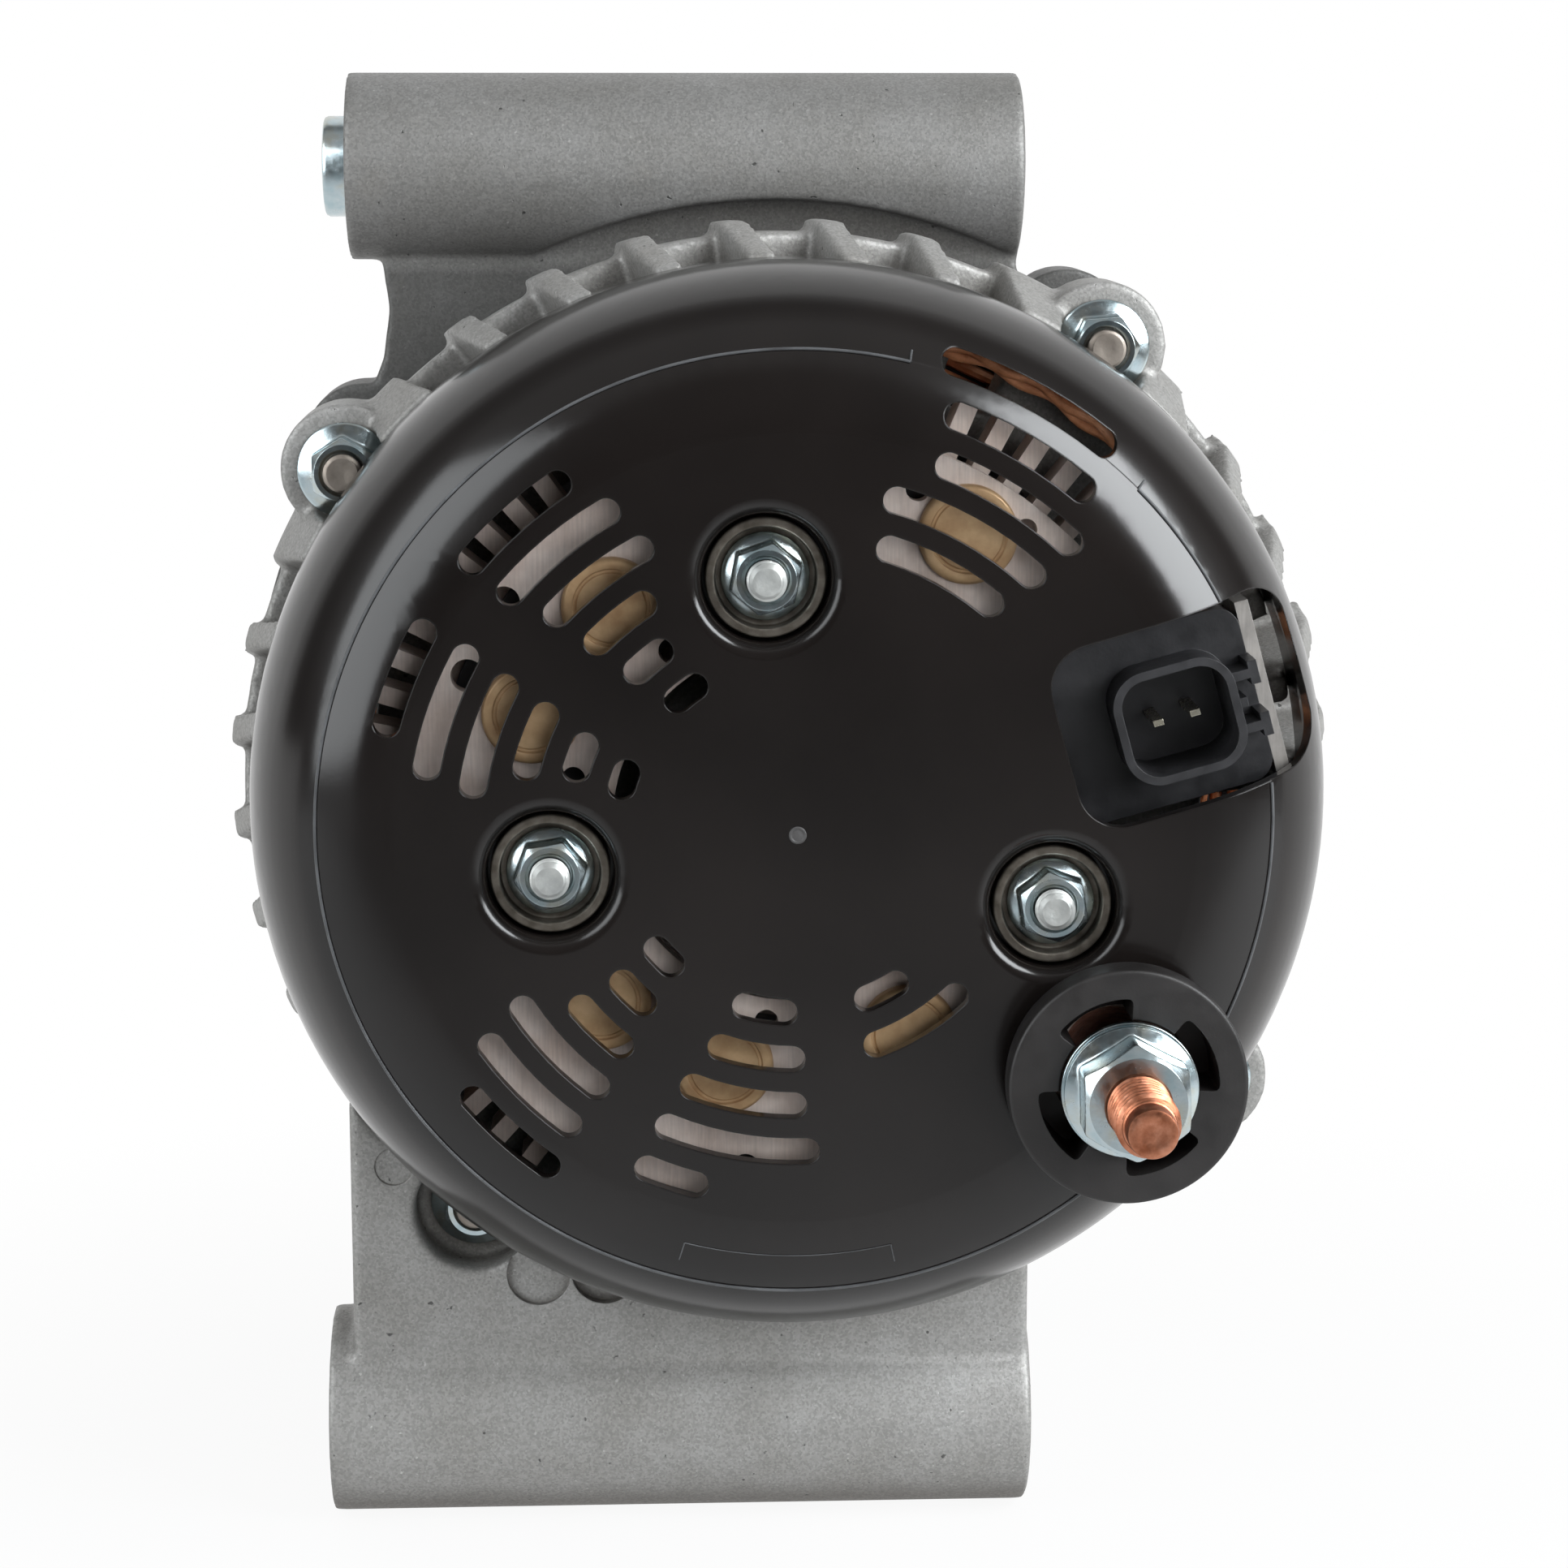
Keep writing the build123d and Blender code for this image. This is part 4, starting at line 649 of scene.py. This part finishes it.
def hex_nut(mesh, centre, size, flange_r, bore, seat, corner_turn, steps=180):
    """A hexagon nut with a conical flange, a chamfered crown and a countersunk bore."""
    flats, flange = size["flats"], size["flange"]
    rear = seat - size["height"]
    rim = seat - flange * RIM_SHARE
    apothem = flats / 2
    corner = apothem / math.cos(math.radians(30))
    round_off = CORNER_SHARE * corner
    slope = (corner - apothem) / (flats / 10)

    def radius_at(depth, turn):
        angle = (math.degrees(turn) - corner_turn) % 60 - 30
        hexagon = min(apothem / math.cos(math.radians(angle)), round_off)
        crown = apothem * CROWN_SHARE + max(depth - rear, 0.0) * slope * CROWN_RISE
        skirt = flange_r - (rim - depth) * CONE_SLOPE
        if depth >= rim:
            skirt = flange_r - RIM_ROUND * max(0.0, 1 - (seat - depth) / RIM_ROUND_HEIGHT)
        body = min(hexagon, crown)
        gap = abs(body - skirt)
        return max(body, skirt) + max(0.0, NUT_FILLET - gap) ** 2 / (4 * NUT_FILLET)

    # The rows stand close together where the chamfer and the flange curve
    rows = even(rear, rear + flats / 9, 0.09) + even(rear + flats / 9 + 0.2, seat - 2 * flange, 0.6)
    rows += even(seat - 1.9 * flange, seat, 0.1)
    rings = turn_rows(mesh, rows, radius_at, centre, steps)
    lathe(mesh, [(bore + 0.55, rear), (bore, rear + 0.5), (bore, seat)], centre, steps)
    mesh.verts.ensure_lookup_table()
    verts = mesh.verts[:][-3 * steps:]
    first, last = verts[:steps], verts[-steps:]
    for step in range(steps):
        after = (step + 1) % steps
        mesh.faces.new((first[step], first[after], rings[0][after], rings[0][step]))
        mesh.faces.new((last[step], rings[-1][step], rings[-1][after], last[after]))


def world_copy(node, name):
    """A free copy of a CAD node's mesh in world places."""
    data = nodes[node].data.copy()
    data.transform(nodes[node].matrix_world)
    made = bpy.data.objects.new(name, data)
    bpy.context.scene.collection.objects.link(made)
    return made


def sink_marks(target, marks):
    """Sinks round ejector marks with crisp rims into a casting's rear face."""
    mesh = bmesh.new()
    for x, z, radius, deep in marks:
        centre = Vector((AXIS.x + x * MM, 0, AXIS.z + z * MM))
        above, below = PLATE_DEPTH - 1.0, PLATE_DEPTH + deep
        lathe(mesh, [(0, above), (radius, above), (radius, below), (0, below)], centre, 48)
    cut(target, build("ejector_marks", mesh))


def cast_copy(node, name, voxel, passes, marks):
    """A node with cast edges: remeshed finely, smoothed and thinned out again."""
    made = world_copy(node, name)
    remesh = made.modifiers.new("remesh", "REMESH")
    remesh.mode = "VOXEL"
    remesh.voxel_size = voxel * MM
    smooth = made.modifiers.new("smooth", "SMOOTH")
    smooth.factor = 0.5
    smooth.iterations = passes
    apply_modifiers(made)
    thin = made.modifiers.new("thin", "DECIMATE")
    thin.ratio = KEPT_FACES
    apply_modifiers(made)
    if marks:
        sink_marks(made, marks)
    shade(made, CAST_SHARP_ANGLE)
    return made


def solids_of(node):
    """The middle and the two box corners of each separate solid in a node."""
    mesh = bmesh.new()
    mesh.from_mesh(nodes[node].data)
    mesh.transform(nodes[node].matrix_world)
    bmesh.ops.remove_doubles(mesh, verts=mesh.verts, dist=1e-6)
    seen, found = set(), []
    for start in mesh.verts:
        if start in seen:
            continue
        group, queue = [], [start]
        seen.add(start)
        while queue:
            vert = queue.pop()
            group.append(vert.co)
            for edge in vert.link_edges:
                other = edge.other_vert(vert)
                if other not in seen:
                    seen.add(other)
                    queue.append(other)
        low = Vector([min(co[axis] for co in group) for axis in range(3)])
        high = Vector([max(co[axis] for co in group) for axis in range(3)])
        found.append(((low + high) / 2, low, high))
    mesh.free()
    return found


def cut_holes(made, places, rear, front):
    """Cuts round holes at (radius, angle, size) places through a plate."""
    mesh = bmesh.new()
    for away, angle, size in places:
        lathe(mesh, [(0, rear), (size, rear), (size, front), (0, front)], spot(away, angle), 24)
    cut(made, build("holes", mesh))


# Sizes in mm of an M5 and an M8 thread and of their nuts
M5 = {"major": 2.5, "pitch": 0.8}
M5_NUT = {"flats": 8.0, "flange": 1.2, "height": 5.0}
M5_NUT_BORE = 2.55
M5_CORE = 2.3
M8 = {"major": 4.0, "pitch": 1.25}
M8_NUT = {"flats": 13.0, "flange": 2.0, "height": 7.6}
M8_NUT_BORE = 3.65
M8_CORE = 3.6
NUT_TURN_SEED = 7


def add_fasteners():
    """Nuts with chamfered corners and studs with real threads, at each place of the CAD ones."""
    turns = random.Random(NUT_TURN_SEED)
    nuts, studs = bmesh.new(), bmesh.new()
    for centre, _, high in solids_of("cover_nuts"):
        hex_nut(nuts, centre, M5_NUT, 5.5, M5_NUT_BORE, depth_of(high.y), turns.uniform(0, 60))
    for centre, low, high in solids_of("cover_studs"):
        tip, end = depth_of(low.y), depth_of(high.y)
        thread(studs, centre, tip, tip + 2.6, M5, 0.75)
        lathe(studs, [(0, tip + 2.5), (M5_CORE, tip + 2.5), (M5_CORE, end), (0, end)], centre, 48)
    stand_in(build("cover_nuts_detail", nuts), "cover_nuts", MATERIALS["zinc"])
    stand_in(build("cover_studs_detail", studs), "cover_studs", MATERIALS["stud_end"])
    nuts, bolts = bmesh.new(), bmesh.new()
    for centre, _, high in solids_of("through_bolt_nuts"):
        hex_nut(nuts, centre, M5_NUT, 6.25, M5_NUT_BORE, depth_of(high.y), turns.uniform(0, 60))
    for centre, low, high in solids_of("through_bolts"):
        tip, end = depth_of(low.y), depth_of(high.y)
        thread(bolts, centre, tip, tip + 2.4, M5, 0.4)
        shank = [(0, tip + 2.3), (M5_CORE, tip + 2.3), (M5_CORE, end - 4.5), (0, end - 4.5)]
        lathe(bolts, shank, centre, 48)
        # The head is a nut with a small centre mark, turned to face the pulley
        before = len(bolts.verts)
        hex_nut(bolts, centre, M5_NUT, 5.9, 0.4, end, turns.uniform(0, 60))
        flip = 2 * FACE_Y + (2 * end - M5_NUT["height"]) * MM
        bolts.verts.ensure_lookup_table()
        for vert in bolts.verts[before:]:
            vert.co.y = flip - vert.co.y
    stand_in(build("through_bolt_nuts_detail", nuts), "through_bolt_nuts", MATERIALS["zinc"])
    stand_in(build("through_bolts_detail", bolts), "through_bolts", MATERIALS["bolt_end"])


# The insulator's four gaps: their angles, half their width in degrees, and their inner and outer radius
GAP_ANGLES = (24.0, 115.0, 209.0, 296.0)
GAP_REACH = 27.0
GAP_INNER_R = 7.5
GAP_OUTER_R = 11.4
OUTPUT_NUT_TURN = 32.0


def add_output_terminal():
    """The threaded output stud with its nut and washer, and the insulator round them."""
    centre = middle("output_stud")
    tip, end = span_y("output_stud")
    seat = span_y("output_washer")[0]
    stud = bmesh.new()
    thread(stud, centre, tip + 3.0, seat - 7.8, M8, 0.65, point=(3.1, tip), steps=80)
    lathe(stud, [(0, seat - 7.9), (M8_CORE, seat - 7.9), (M8_CORE, seat + 0.9), (6.3, seat + 0.9),
                 (6.5, seat + 1.1), (6.5, 8.0), (M8_CORE, 8.0), (M8_CORE, end), (0, end)], centre, 64)
    stand_in(build("output_stud_thread", stud), "output_stud", MATERIALS["copper_plate"])
    nut = bmesh.new()
    hex_nut(nut, centre, M8_NUT, 8.3, M8_NUT_BORE, seat, OUTPUT_NUT_TURN, 240)
    stand_in(build("output_nut_detail", nut), "output_nut", MATERIALS["zinc"])
    washer = bmesh.new()
    outline = soften([(4.3, seat), (8.6, seat), (8.6, seat + 0.9), (4.3, seat + 0.9)], 0.18, 3)
    lathe(washer, outline, centre, 96, closed=True)
    stand_in(build("output_washer_detail", washer), "output_washer", MATERIALS["zinc"])
    face, foot = span_y("output_insulator")
    body = bmesh.new()
    outline = soften([(8.5, face), (15.0, face), (15.0, face + 5.0), (12.0, face + 5.0), (12.0, foot),
                      (8.5, foot)], 0.55, 4)
    lathe(body, outline, centre, 128, closed=True)
    made = build("output_insulator_detail", body)
    gaps = bmesh.new()
    ring = ((centre.x - AXIS.x) / MM, (centre.z - AXIS.z) / MM)
    for angle in GAP_ANGLES:
        near = arc_points(ring, GAP_INNER_R, angle - GAP_REACH, angle + GAP_REACH, 4)
        far = arc_points(ring, GAP_OUTER_R, angle + GAP_REACH, angle - GAP_REACH, 5)
        prism(gaps, soften(near + far, 0.9, 3), face - 1, face + 9.0)
    cut(made, build("insulator_gaps", gaps))
    shade(made)
    stand_in(made, "output_insulator", insulator_plastic())


def add_collars():
    """The steel collars in the cover's wells."""
    mesh = bmesh.new()
    for centre, low, high in solids_of("cover_collars"):
        rim, floor = depth_of(low.y), depth_of(high.y)
        outline = soften([(2.8, floor - 1.5), (6.3, floor - 1.5), (6.3, rim), (7.5, rim), (7.5, floor),
                          (2.8, floor)], 0.35, 4)
        lathe(mesh, outline, centre, 80, closed=True)
    stand_in(build("cover_collars_detail", mesh), "cover_collars", MATERIALS["collar_steel"])


def add_bush():
    """The sliding bush, turned about its own line, with chamfered ends."""
    low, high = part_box("mount_bush")
    centre = (low + high) / 2
    length = (high.x - low.x) / MM
    outline = [(5.2, 0.6), (5.8, 0), (6.5, 0), (6.8, 0.15), (7.0, 0.6), (7.0, length - 0.6), (6.6, length),
               (5.7, length), (5.2, length - 0.5)]
    mesh = bmesh.new()
    steps = 96
    rings = []
    for radius, along in outline:
        ring = []
        for step in range(steps):
            turn = 2 * math.pi * step / steps
            ring.append(mesh.verts.new((low.x + along * MM, centre.y + radius * MM * math.cos(turn),
                                        centre.z + radius * MM * math.sin(turn))))
        rings.append(ring)
    for first, second in zip(rings, rings[1:] + rings[:1]):
        for step in range(steps):
            after = (step + 1) % steps
            mesh.faces.new((first[step], second[step], second[after], first[after]))
    stand_in(build("mount_bush_turned", mesh, 25), "mount_bush", MATERIALS["zinc"])


# The positive plate's small holes: how far out, at which angle, the hole's own radius; then the depths
# they are cut between
POSITIVE_HOLES = [(27.0, 125, 1.6), (30.5, 143, 2.0), (46.0, 142, 2.0), (45.2, 155, 2.1), (28.5, 168, 1.5),
                  (46.5, 212, 1.8), (27.0, 215, 1.5), (43.0, 240, 2.0), (26.0, 262, 1.5), (45.5, 262, 1.8),
                  (45.0, 70, 1.6), (47.0, 52, 1.4), (44.5, 305, 1.5)]
HOLES_REAR, HOLES_FRONT = 5, 14


def add_plates():
    """The positive plate with its holes, and diode cans with a bead round a flat middle."""
    made = world_copy("positive_heatsink", "positive_plate")
    cut_holes(made, POSITIVE_HOLES, HOLES_REAR, HOLES_FRONT)
    shade(made)
    stand_in(made, "positive_heatsink", MATERIALS["plate_aluminium"])
    cans = bmesh.new()
    for centre, low, high in solids_of("positive_diodes"):
        rear, end = depth_of(low.y), depth_of(high.y)
        outline = [(0, rear + 0.25), (4.3, rear + 0.25), (4.45, rear + 0.45), (4.75, rear + 0.45),
                   (4.9, rear + 0.05), (5.1, rear), (5.75, rear), (6.0, rear + 0.1), (6.2, rear + 0.35),
                   (6.25, rear + 0.6), (6.25, rear + 6.0), (0.6, rear + 6.0), (0.6, end), (0, end)]
        lathe(cans, outline, centre, 72)
    stand_in(build("positive_cans", cans), "positive_diodes", MATERIALS["diode_can"])


# The stator's slots, and the radius and size in mm of the four flat bars in each; their lean in degrees
SLOTS = 36
BAR_LAYERS = [55.9, 58.0, 60.1, 62.2]
BAR_R = 1.05
BAR_FLATNESS = 0.8
BAR_LEAN = 14.0
BAR_SEED = 3
# The three phase leads that rise to the rectifier
PHASE_ANGLES = (108.0, 178.0, 278.0)
PHASE_RING_R = 58
PHASE_R = 1.1
# The lead bundle that shows through the outermost slot: radius, depth and sway of each strand
LEAD_STRANDS = [(62.2, 17.2, 0.3), (63.5, 16.4, 0.9), (64.6, 17.3, 1.7), (62.8, 15.1, 2.4),
                (64.0, 14.7, 3.1)]
LEAD_START, LEAD_END = 78.5, 40.5
LEAD_ROOT = 33.0
LEAD_R = 0.85


def add_winding():
    """Flat bars through every slot, leaning to their neighbours at both ends, with welded tips."""
    rear, front = span_y("stator_core")
    mesh = bmesh.new()
    wobble = random.Random(BAR_SEED)
    for slot in range(SLOTS):
        start = 360.0 / SLOTS * slot
        for index, radius in enumerate(BAR_LAYERS):
            lean = BAR_LEAN if index % 2 else -BAR_LEAN
            front_tip = front + 8.4 - wobble.uniform(0, 0.3)
            rear_tip = rear - 8.2 + wobble.uniform(0, 0.5)
            way = [(1.0, front_tip), (0.55, front + 6.2), (0.1, front + 3.0), (0.0, front + 1.0),
                   (0.0, rear - 1.2), (0.08, rear - 2.8), (0.62, rear - 6.0), (0.7, rear_tip)]
            points = [spot(radius, start + share * lean, depth) for share, depth in way]
            tube(mesh, points, BAR_R * MM, 8, BAR_FLATNESS)
    for angle in PHASE_ANGLES:
        points = [spot(PHASE_RING_R, angle, depth) for depth in (11.0, 24.0, rear - 7.0)]
        tube(mesh, points, PHASE_R * MM, 12)
    for radius, depth, sway in LEAD_STRANDS:
        points = [spot(radius, LEAD_START, LEAD_ROOT), spot(radius, LEAD_START - 0.6, depth + 3)]
        for step, angle in enumerate(even(LEAD_START - 2, LEAD_END + 2, 1.2)):
            points.append(spot(radius + 0.35 * math.sin(0.9 * step + sway), angle,
                               depth + 0.3 * math.sin(0.6 * step + 2 * sway)))
        points += [spot(radius, LEAD_END + 0.6, depth + 3), spot(radius, LEAD_END, LEAD_ROOT)]
        tube(mesh, points, LEAD_R * MM, 10)
    stand_in(build("hairpin_winding", mesh, 40), "stator_winding", MATERIALS["copper_wire"])


# The cover in mm: its flat face's radius, its shoulder's width and depth, and the step round it
COVER_FLAT_R = 50
SHOULDER_WIDTH = 20
SHOULDER_DEPTH = 24.0
STEP_R = 60.0
STEP_HEIGHT = 0.5
# The bead along the step in degrees, and the pad's outline: its two angles and its two radii
STEP_ARCS = [(76.6, 310.3), (335.6, 365.4), (28.4, 45.2)]
PAD_ARC = (254.8, 282.6, 54.6, 57.2)


def cover_depth(radius):
    """How far the cover's shoulder lies behind its face at a radius."""
    if radius <= COVER_FLAT_R:
        return 0.0
    fall = SHOULDER_DEPTH * (1 - math.cos(math.asin(min((radius - COVER_FLAT_R) / SHOULDER_WIDTH, 1.0))))
    return fall + (STEP_HEIGHT if radius > STEP_R else 0.0)


def bead(mesh, places, size):
    """A thin raised line over (radius, angle) places on the cover."""
    points = [spot(radius, angle, cover_depth(radius) - 0.55 * size) for radius, angle in places]
    tube(mesh, points, size * MM, 10)


def add_cover_lines():
    """The moulded bead round the cover's step, the pad's outline low down, and the gate mark."""
    mesh = bmesh.new()
    for start, end in STEP_ARCS:
        bead(mesh, [(STEP_R - 0.02, angle) for angle in even(start, end, 1.0)], 0.2)
    # Beside the outermost slot both ends of the bead turn outwards
    for angle in (STEP_ARCS[0][0], STEP_ARCS[-1][1]):
        bead(mesh, [(STEP_R - 0.02, angle), (STEP_R + 0.6, angle), (STEP_R + 1.3, angle)], 0.15)
    start, end, low, high = PAD_ARC
    bead(mesh, [(low, angle) for angle in even(start, end, 1.0)], 0.07)
    for angle in (start, end):
        bead(mesh, [(low, angle), ((low + high) / 2, angle), (high, angle)], 0.08)
    made = build("cover_beads", mesh)
    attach(made, nodes["rear_cover"]["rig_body"])
    # Painted highlight: the bead is coloured lighter than the cover to look like the step line catching the
    # light
    painted_highlight_look = dull_plastic("bead_painted_highlight", (0.034, 0.035, 0.037), (0.075, 0.078, 0.082), 0.42)
    wear(made, painted_highlight_look)
    mesh = bmesh.new()
    outline = [(0, -0.05), (0.35, -0.05), (0.5, -0.01), (0.75, -0.01), (0.85, -0.09), (1.05, -0.09),
               (1.15, 0.05)]
    lathe(mesh, outline, AXIS, 48)
    made = build("gate_mark", mesh)
    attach(made, nodes["rear_cover"]["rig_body"])
    wear(made, dull_plastic("gate_plastic", (0.025, 0.024, 0.024), (0.05, 0.048, 0.048)))


# Ejector marks on the lower plate in mm: place about the shaft, radius, and how deep each goes in
PLATE_DEPTH = 31.6
EJECTOR_MARKS = [(-52.9, -51.4, 2.6, 0.3), (-33.6, -66.8, 4.3, 0.9), (-24.6, -66.4, 4.6, 1.6)]
# The bush's seat in the upper bar in mm: its radius, how far it goes on past the bush, and how far
# before the bush the cut starts
BUSH_SEAT_R = 7.08
BUSH_TRAVEL = 3.1
BUSH_LEAD_IN = 5
# How finely the castings are remeshed in mm, how often smoothed, and the share of faces that is kept
VOXEL, QUICK_VOXEL = 0.55, 1.1
PASSES, QUICK_PASSES = 7, 3
KEPT_FACES = 0.35
# How far below the top of the upper bar the darker skin and painted shade begin, in mm
SKIN_AND_SHADE_DROP = 26


def bore_bush_seat(target):
    """Bores the sliding bush's seat clean again after the casting's edges were softened."""
    low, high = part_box("mount_bush")
    centre = (low + high) / 2
    start, end = low.x - BUSH_LEAD_IN * MM, high.x + BUSH_TRAVEL * MM
    place = Matrix.Translation(((start + end) / 2, centre.y, centre.z))
    along_bar = Matrix.Rotation(math.radians(90), 4, "Y")
    radius = BUSH_SEAT_R * MM
    mesh = bmesh.new()
    bmesh.ops.create_cone(mesh, cap_ends=True, segments=96, radius1=radius, radius2=radius,
                          depth=end - start, matrix=place @ along_bar)
    cut(target, build("bush_seat", mesh))
    shade(target, CAST_SHARP_ANGLE)


def add_frames():
    """The two castings with softened edges; the front one is darker below its bar, partly its skin and
    partly painted shade.
    """
    voxel = VOXEL
    passes = PASSES
    bar_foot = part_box("front_frame")[1].z - SKIN_AND_SHADE_DROP * MM
    front_look = cast_aluminium("front_casting", FRONT_TONE, bar_foot)
    looks = {"rear_frame": MATERIALS["cast_aluminium"], "front_frame": front_look}
    for node, material in looks.items():
        marks = EJECTOR_MARKS if node == "rear_frame" else ()
        made = cast_copy(node, f"{node}_casting", voxel, passes, marks)
        if node == "front_frame":
            bore_bush_seat(made)
        stand_in(made, node, material)


add_fasteners()
add_output_terminal()
add_collars()
add_bush()
add_plates()
add_winding()
add_cover_lines()
add_frames()


# Camera, light and floor

# Where the camera looks, its distance in m, its angles in degrees, and its lens for the photo's pixels
CAMERA_TARGET = AXIS + Vector((-1.71 * MM, 0, 6.51 * MM))
CAMERA_TARGET.y = FACE_Y
CAMERA_DISTANCE = 0.45
CAMERA_AZIMUTH = -2.59
CAMERA_HEIGHT = 10.5
FOCAL_PIXELS = 4476
IMAGE_PIXELS = 1932
SENSOR = 36.0
CLIP_START = 0.01
# World brightness against the direction's share along the shaft, from the camera's side to behind
WORLD_BANDS = [(-1.0, 0.06), (-0.72, 0.10), (-0.5, 0.42), (-0.05, 0.44), (0.18, 0.17), (0.34, 0.15),
               (0.55, 0.9), (1.0, 1.0)]
# Softboxes: place about the shaft in m, size in m, watts
LEFT_BOX = ((-0.62, -0.36, 0.27), (0.54, 0.66), 5.0)
RIGHT_BOX = ((0.57, -0.36, 0.36), (0.44, 0.54), 11.0)
FRONT_FILL = ((0.16, -0.52, 0.10), (0.30, 0.20), 1.5)
SOFTBOX_TINT = (0.94, 0.975, 1.0)
WHITE = (1, 1, 1)
FLOOR_REACH = 6.0


def add_camera():
    """The camera fitted to the photo's view."""
    azimuth, height = math.radians(CAMERA_AZIMUTH), math.radians(CAMERA_HEIGHT)
    back = Vector((math.sin(azimuth) * math.cos(height), -math.cos(azimuth) * math.cos(height),
                   math.sin(height)))
    lens = bpy.data.cameras.new("camera")
    lens.lens = FOCAL_PIXELS / IMAGE_PIXELS * SENSOR
    lens.sensor_width = SENSOR
    lens.clip_start = CLIP_START
    camera = bpy.data.objects.new("camera", lens)
    bpy.context.scene.collection.objects.link(camera)
    camera.location = CAMERA_TARGET + back * CAMERA_DISTANCE
    camera.rotation_euler = (-back).to_track_quat("-Z", "Y").to_euler()
    bpy.context.scene.camera = camera


def add_light(name, place, size, watts, colour):
    """A rectangular softbox that faces the machine, and the object that carries it."""
    lamp = bpy.data.lights.new(name, "AREA")
    lamp.shape = "RECTANGLE"
    lamp.size, lamp.size_y = size
    lamp.energy = watts
    lamp.color = colour
    made = bpy.data.objects.new(name, lamp)
    bpy.context.scene.collection.objects.link(made)
    made.location = AXIS + Vector(place)
    made.rotation_euler = (AXIS - made.location).to_track_quat("-Z", "Y").to_euler()
    return made


def backdrop_share(tree, behind):
    """1 where a ray sees the white backdrop: camera rays, and mirrored or refracted ones that go behind."""
    rays = tree.nodes.new("ShaderNodeLightPath").outputs
    bent = combine(tree, "MAXIMUM", rays["Is Glossy Ray"], rays["Is Transmission Ray"])
    return combine(tree, "MAXIMUM", rays["Is Camera Ray"], combine(tree, "MULTIPLY", bent, behind))


def add_world():
    """Dark on the camera's side, bright at the sides, a dim gap and white behind; white to the camera."""
    world = bpy.data.worlds.new("studio")
    bpy.context.scene.world = world
    world.use_nodes = True
    tree = world.node_tree
    tree.nodes.clear()
    direction = split_axes(tree, tree.nodes.new("ShaderNodeTexCoord").outputs["Generated"])
    band = tree.nodes.new("ShaderNodeValToRGB")
    stops = band.color_ramp.elements
    while len(stops) < len(WORLD_BANDS):
        stops.new(0.5)
    for stop, (position, grey) in zip(stops, WORLD_BANDS):
        stop.position = (position + 1) / 2
        stop.color = (grey, grey, grey, 1)
    tree.links.new(map_range(tree, direction["Y"], from_min=-1.0), band.inputs["Fac"])
    behind = map_range(tree, direction["Y"], from_min=0.3, from_max=0.5)
    # Away from the backdrop, the world dims towards the floor
    lift = map_range(tree, direction["Z"], from_min=-0.05, from_max=0.40, to_min=0.30)
    lit = tree.nodes.new("ShaderNodeMix")
    lit.data_type = "RGBA"
    lit.blend_type = "MULTIPLY"
    lit.inputs[0].default_value = 1.0
    tree.links.new(band.outputs["Color"], lit.inputs[6])
    tree.links.new(combine(tree, "MAXIMUM", lift, behind), lit.inputs[7])
    level = tree.nodes.new("ShaderNodeMix")
    level.data_type = "RGBA"
    tree.links.new(backdrop_share(tree, behind), level.inputs[0])
    tree.links.new(lit.outputs[2], level.inputs[6])
    level.inputs[7].default_value = (*WHITE, 1)
    shine = tree.nodes.new("ShaderNodeBackground")
    tree.links.new(level.outputs[2], shine.inputs["Color"])
    out = tree.nodes.new("ShaderNodeOutputWorld")
    tree.links.new(shine.outputs["Background"], out.inputs["Surface"])


def add_floor():
    """A pale floor under the lower bar, white to the camera but for the soft shadow near the machine."""
    low = cad_box[0][2]
    mesh = bmesh.new()
    signs = ((-1, -1), (1, -1), (1, 1), (-1, 1))
    mesh.faces.new([mesh.verts.new((x * FLOOR_REACH, y * FLOOR_REACH, low)) for x, y in signs])
    floor = build("floor", mesh)
    f = Finish("floor_paper")
    f.finish(None, 0.7)
    glow = f.node("ShaderNodeEmission", Strength=1.0)
    away = f.node("ShaderNodeVectorMath", operation="LENGTH")
    f.link(f.place, away.inputs[0])
    depth = split_axes(f.tree, f.place)["Y"]
    share = map_range(f.tree, away.outputs["Value"], from_min=0.10, from_max=0.22, to_min=0.92, to_max=1.0)
    behind = map_range(f.tree, depth, from_min=FACE_Y, from_max=FACE_Y + 40 * MM)
    # The paper is darker towards the camera, where the glossy cover mirrors it
    paper = map_range(f.tree, depth, from_min=FACE_Y - 0.34, from_max=FACE_Y - 0.04,
                      to_min=0.12, to_max=0.56)
    f.link(paper, f.shader.inputs["Base Color"])
    part = combine(f.tree, "MULTIPLY", share, backdrop_share(f.tree, behind))
    both = f.node("ShaderNodeMixShader")
    f.link(part, both.inputs["Fac"])
    f.link(f.shader.outputs["BSDF"], both.inputs[1])
    f.link(glow.outputs["Emission"], both.inputs[2])
    f.link(both.outputs["Shader"], f.tree.nodes["Material Output"].inputs["Surface"])
    floor.data.materials.append(f.material)


add_camera()
add_world()
add_floor()
add_light("left_box", *LEFT_BOX, SOFTBOX_TINT)
add_light("right_box", *RIGHT_BOX, SOFTBOX_TINT)
# A weak light from the front that reaches the plates behind the grilles; the glossy cover doesn't mirror it
fill = add_light("front_fill", *FRONT_FILL, WHITE)
fill.visible_glossy = False

bpy.context.scene.view_settings.view_transform = "Standard"
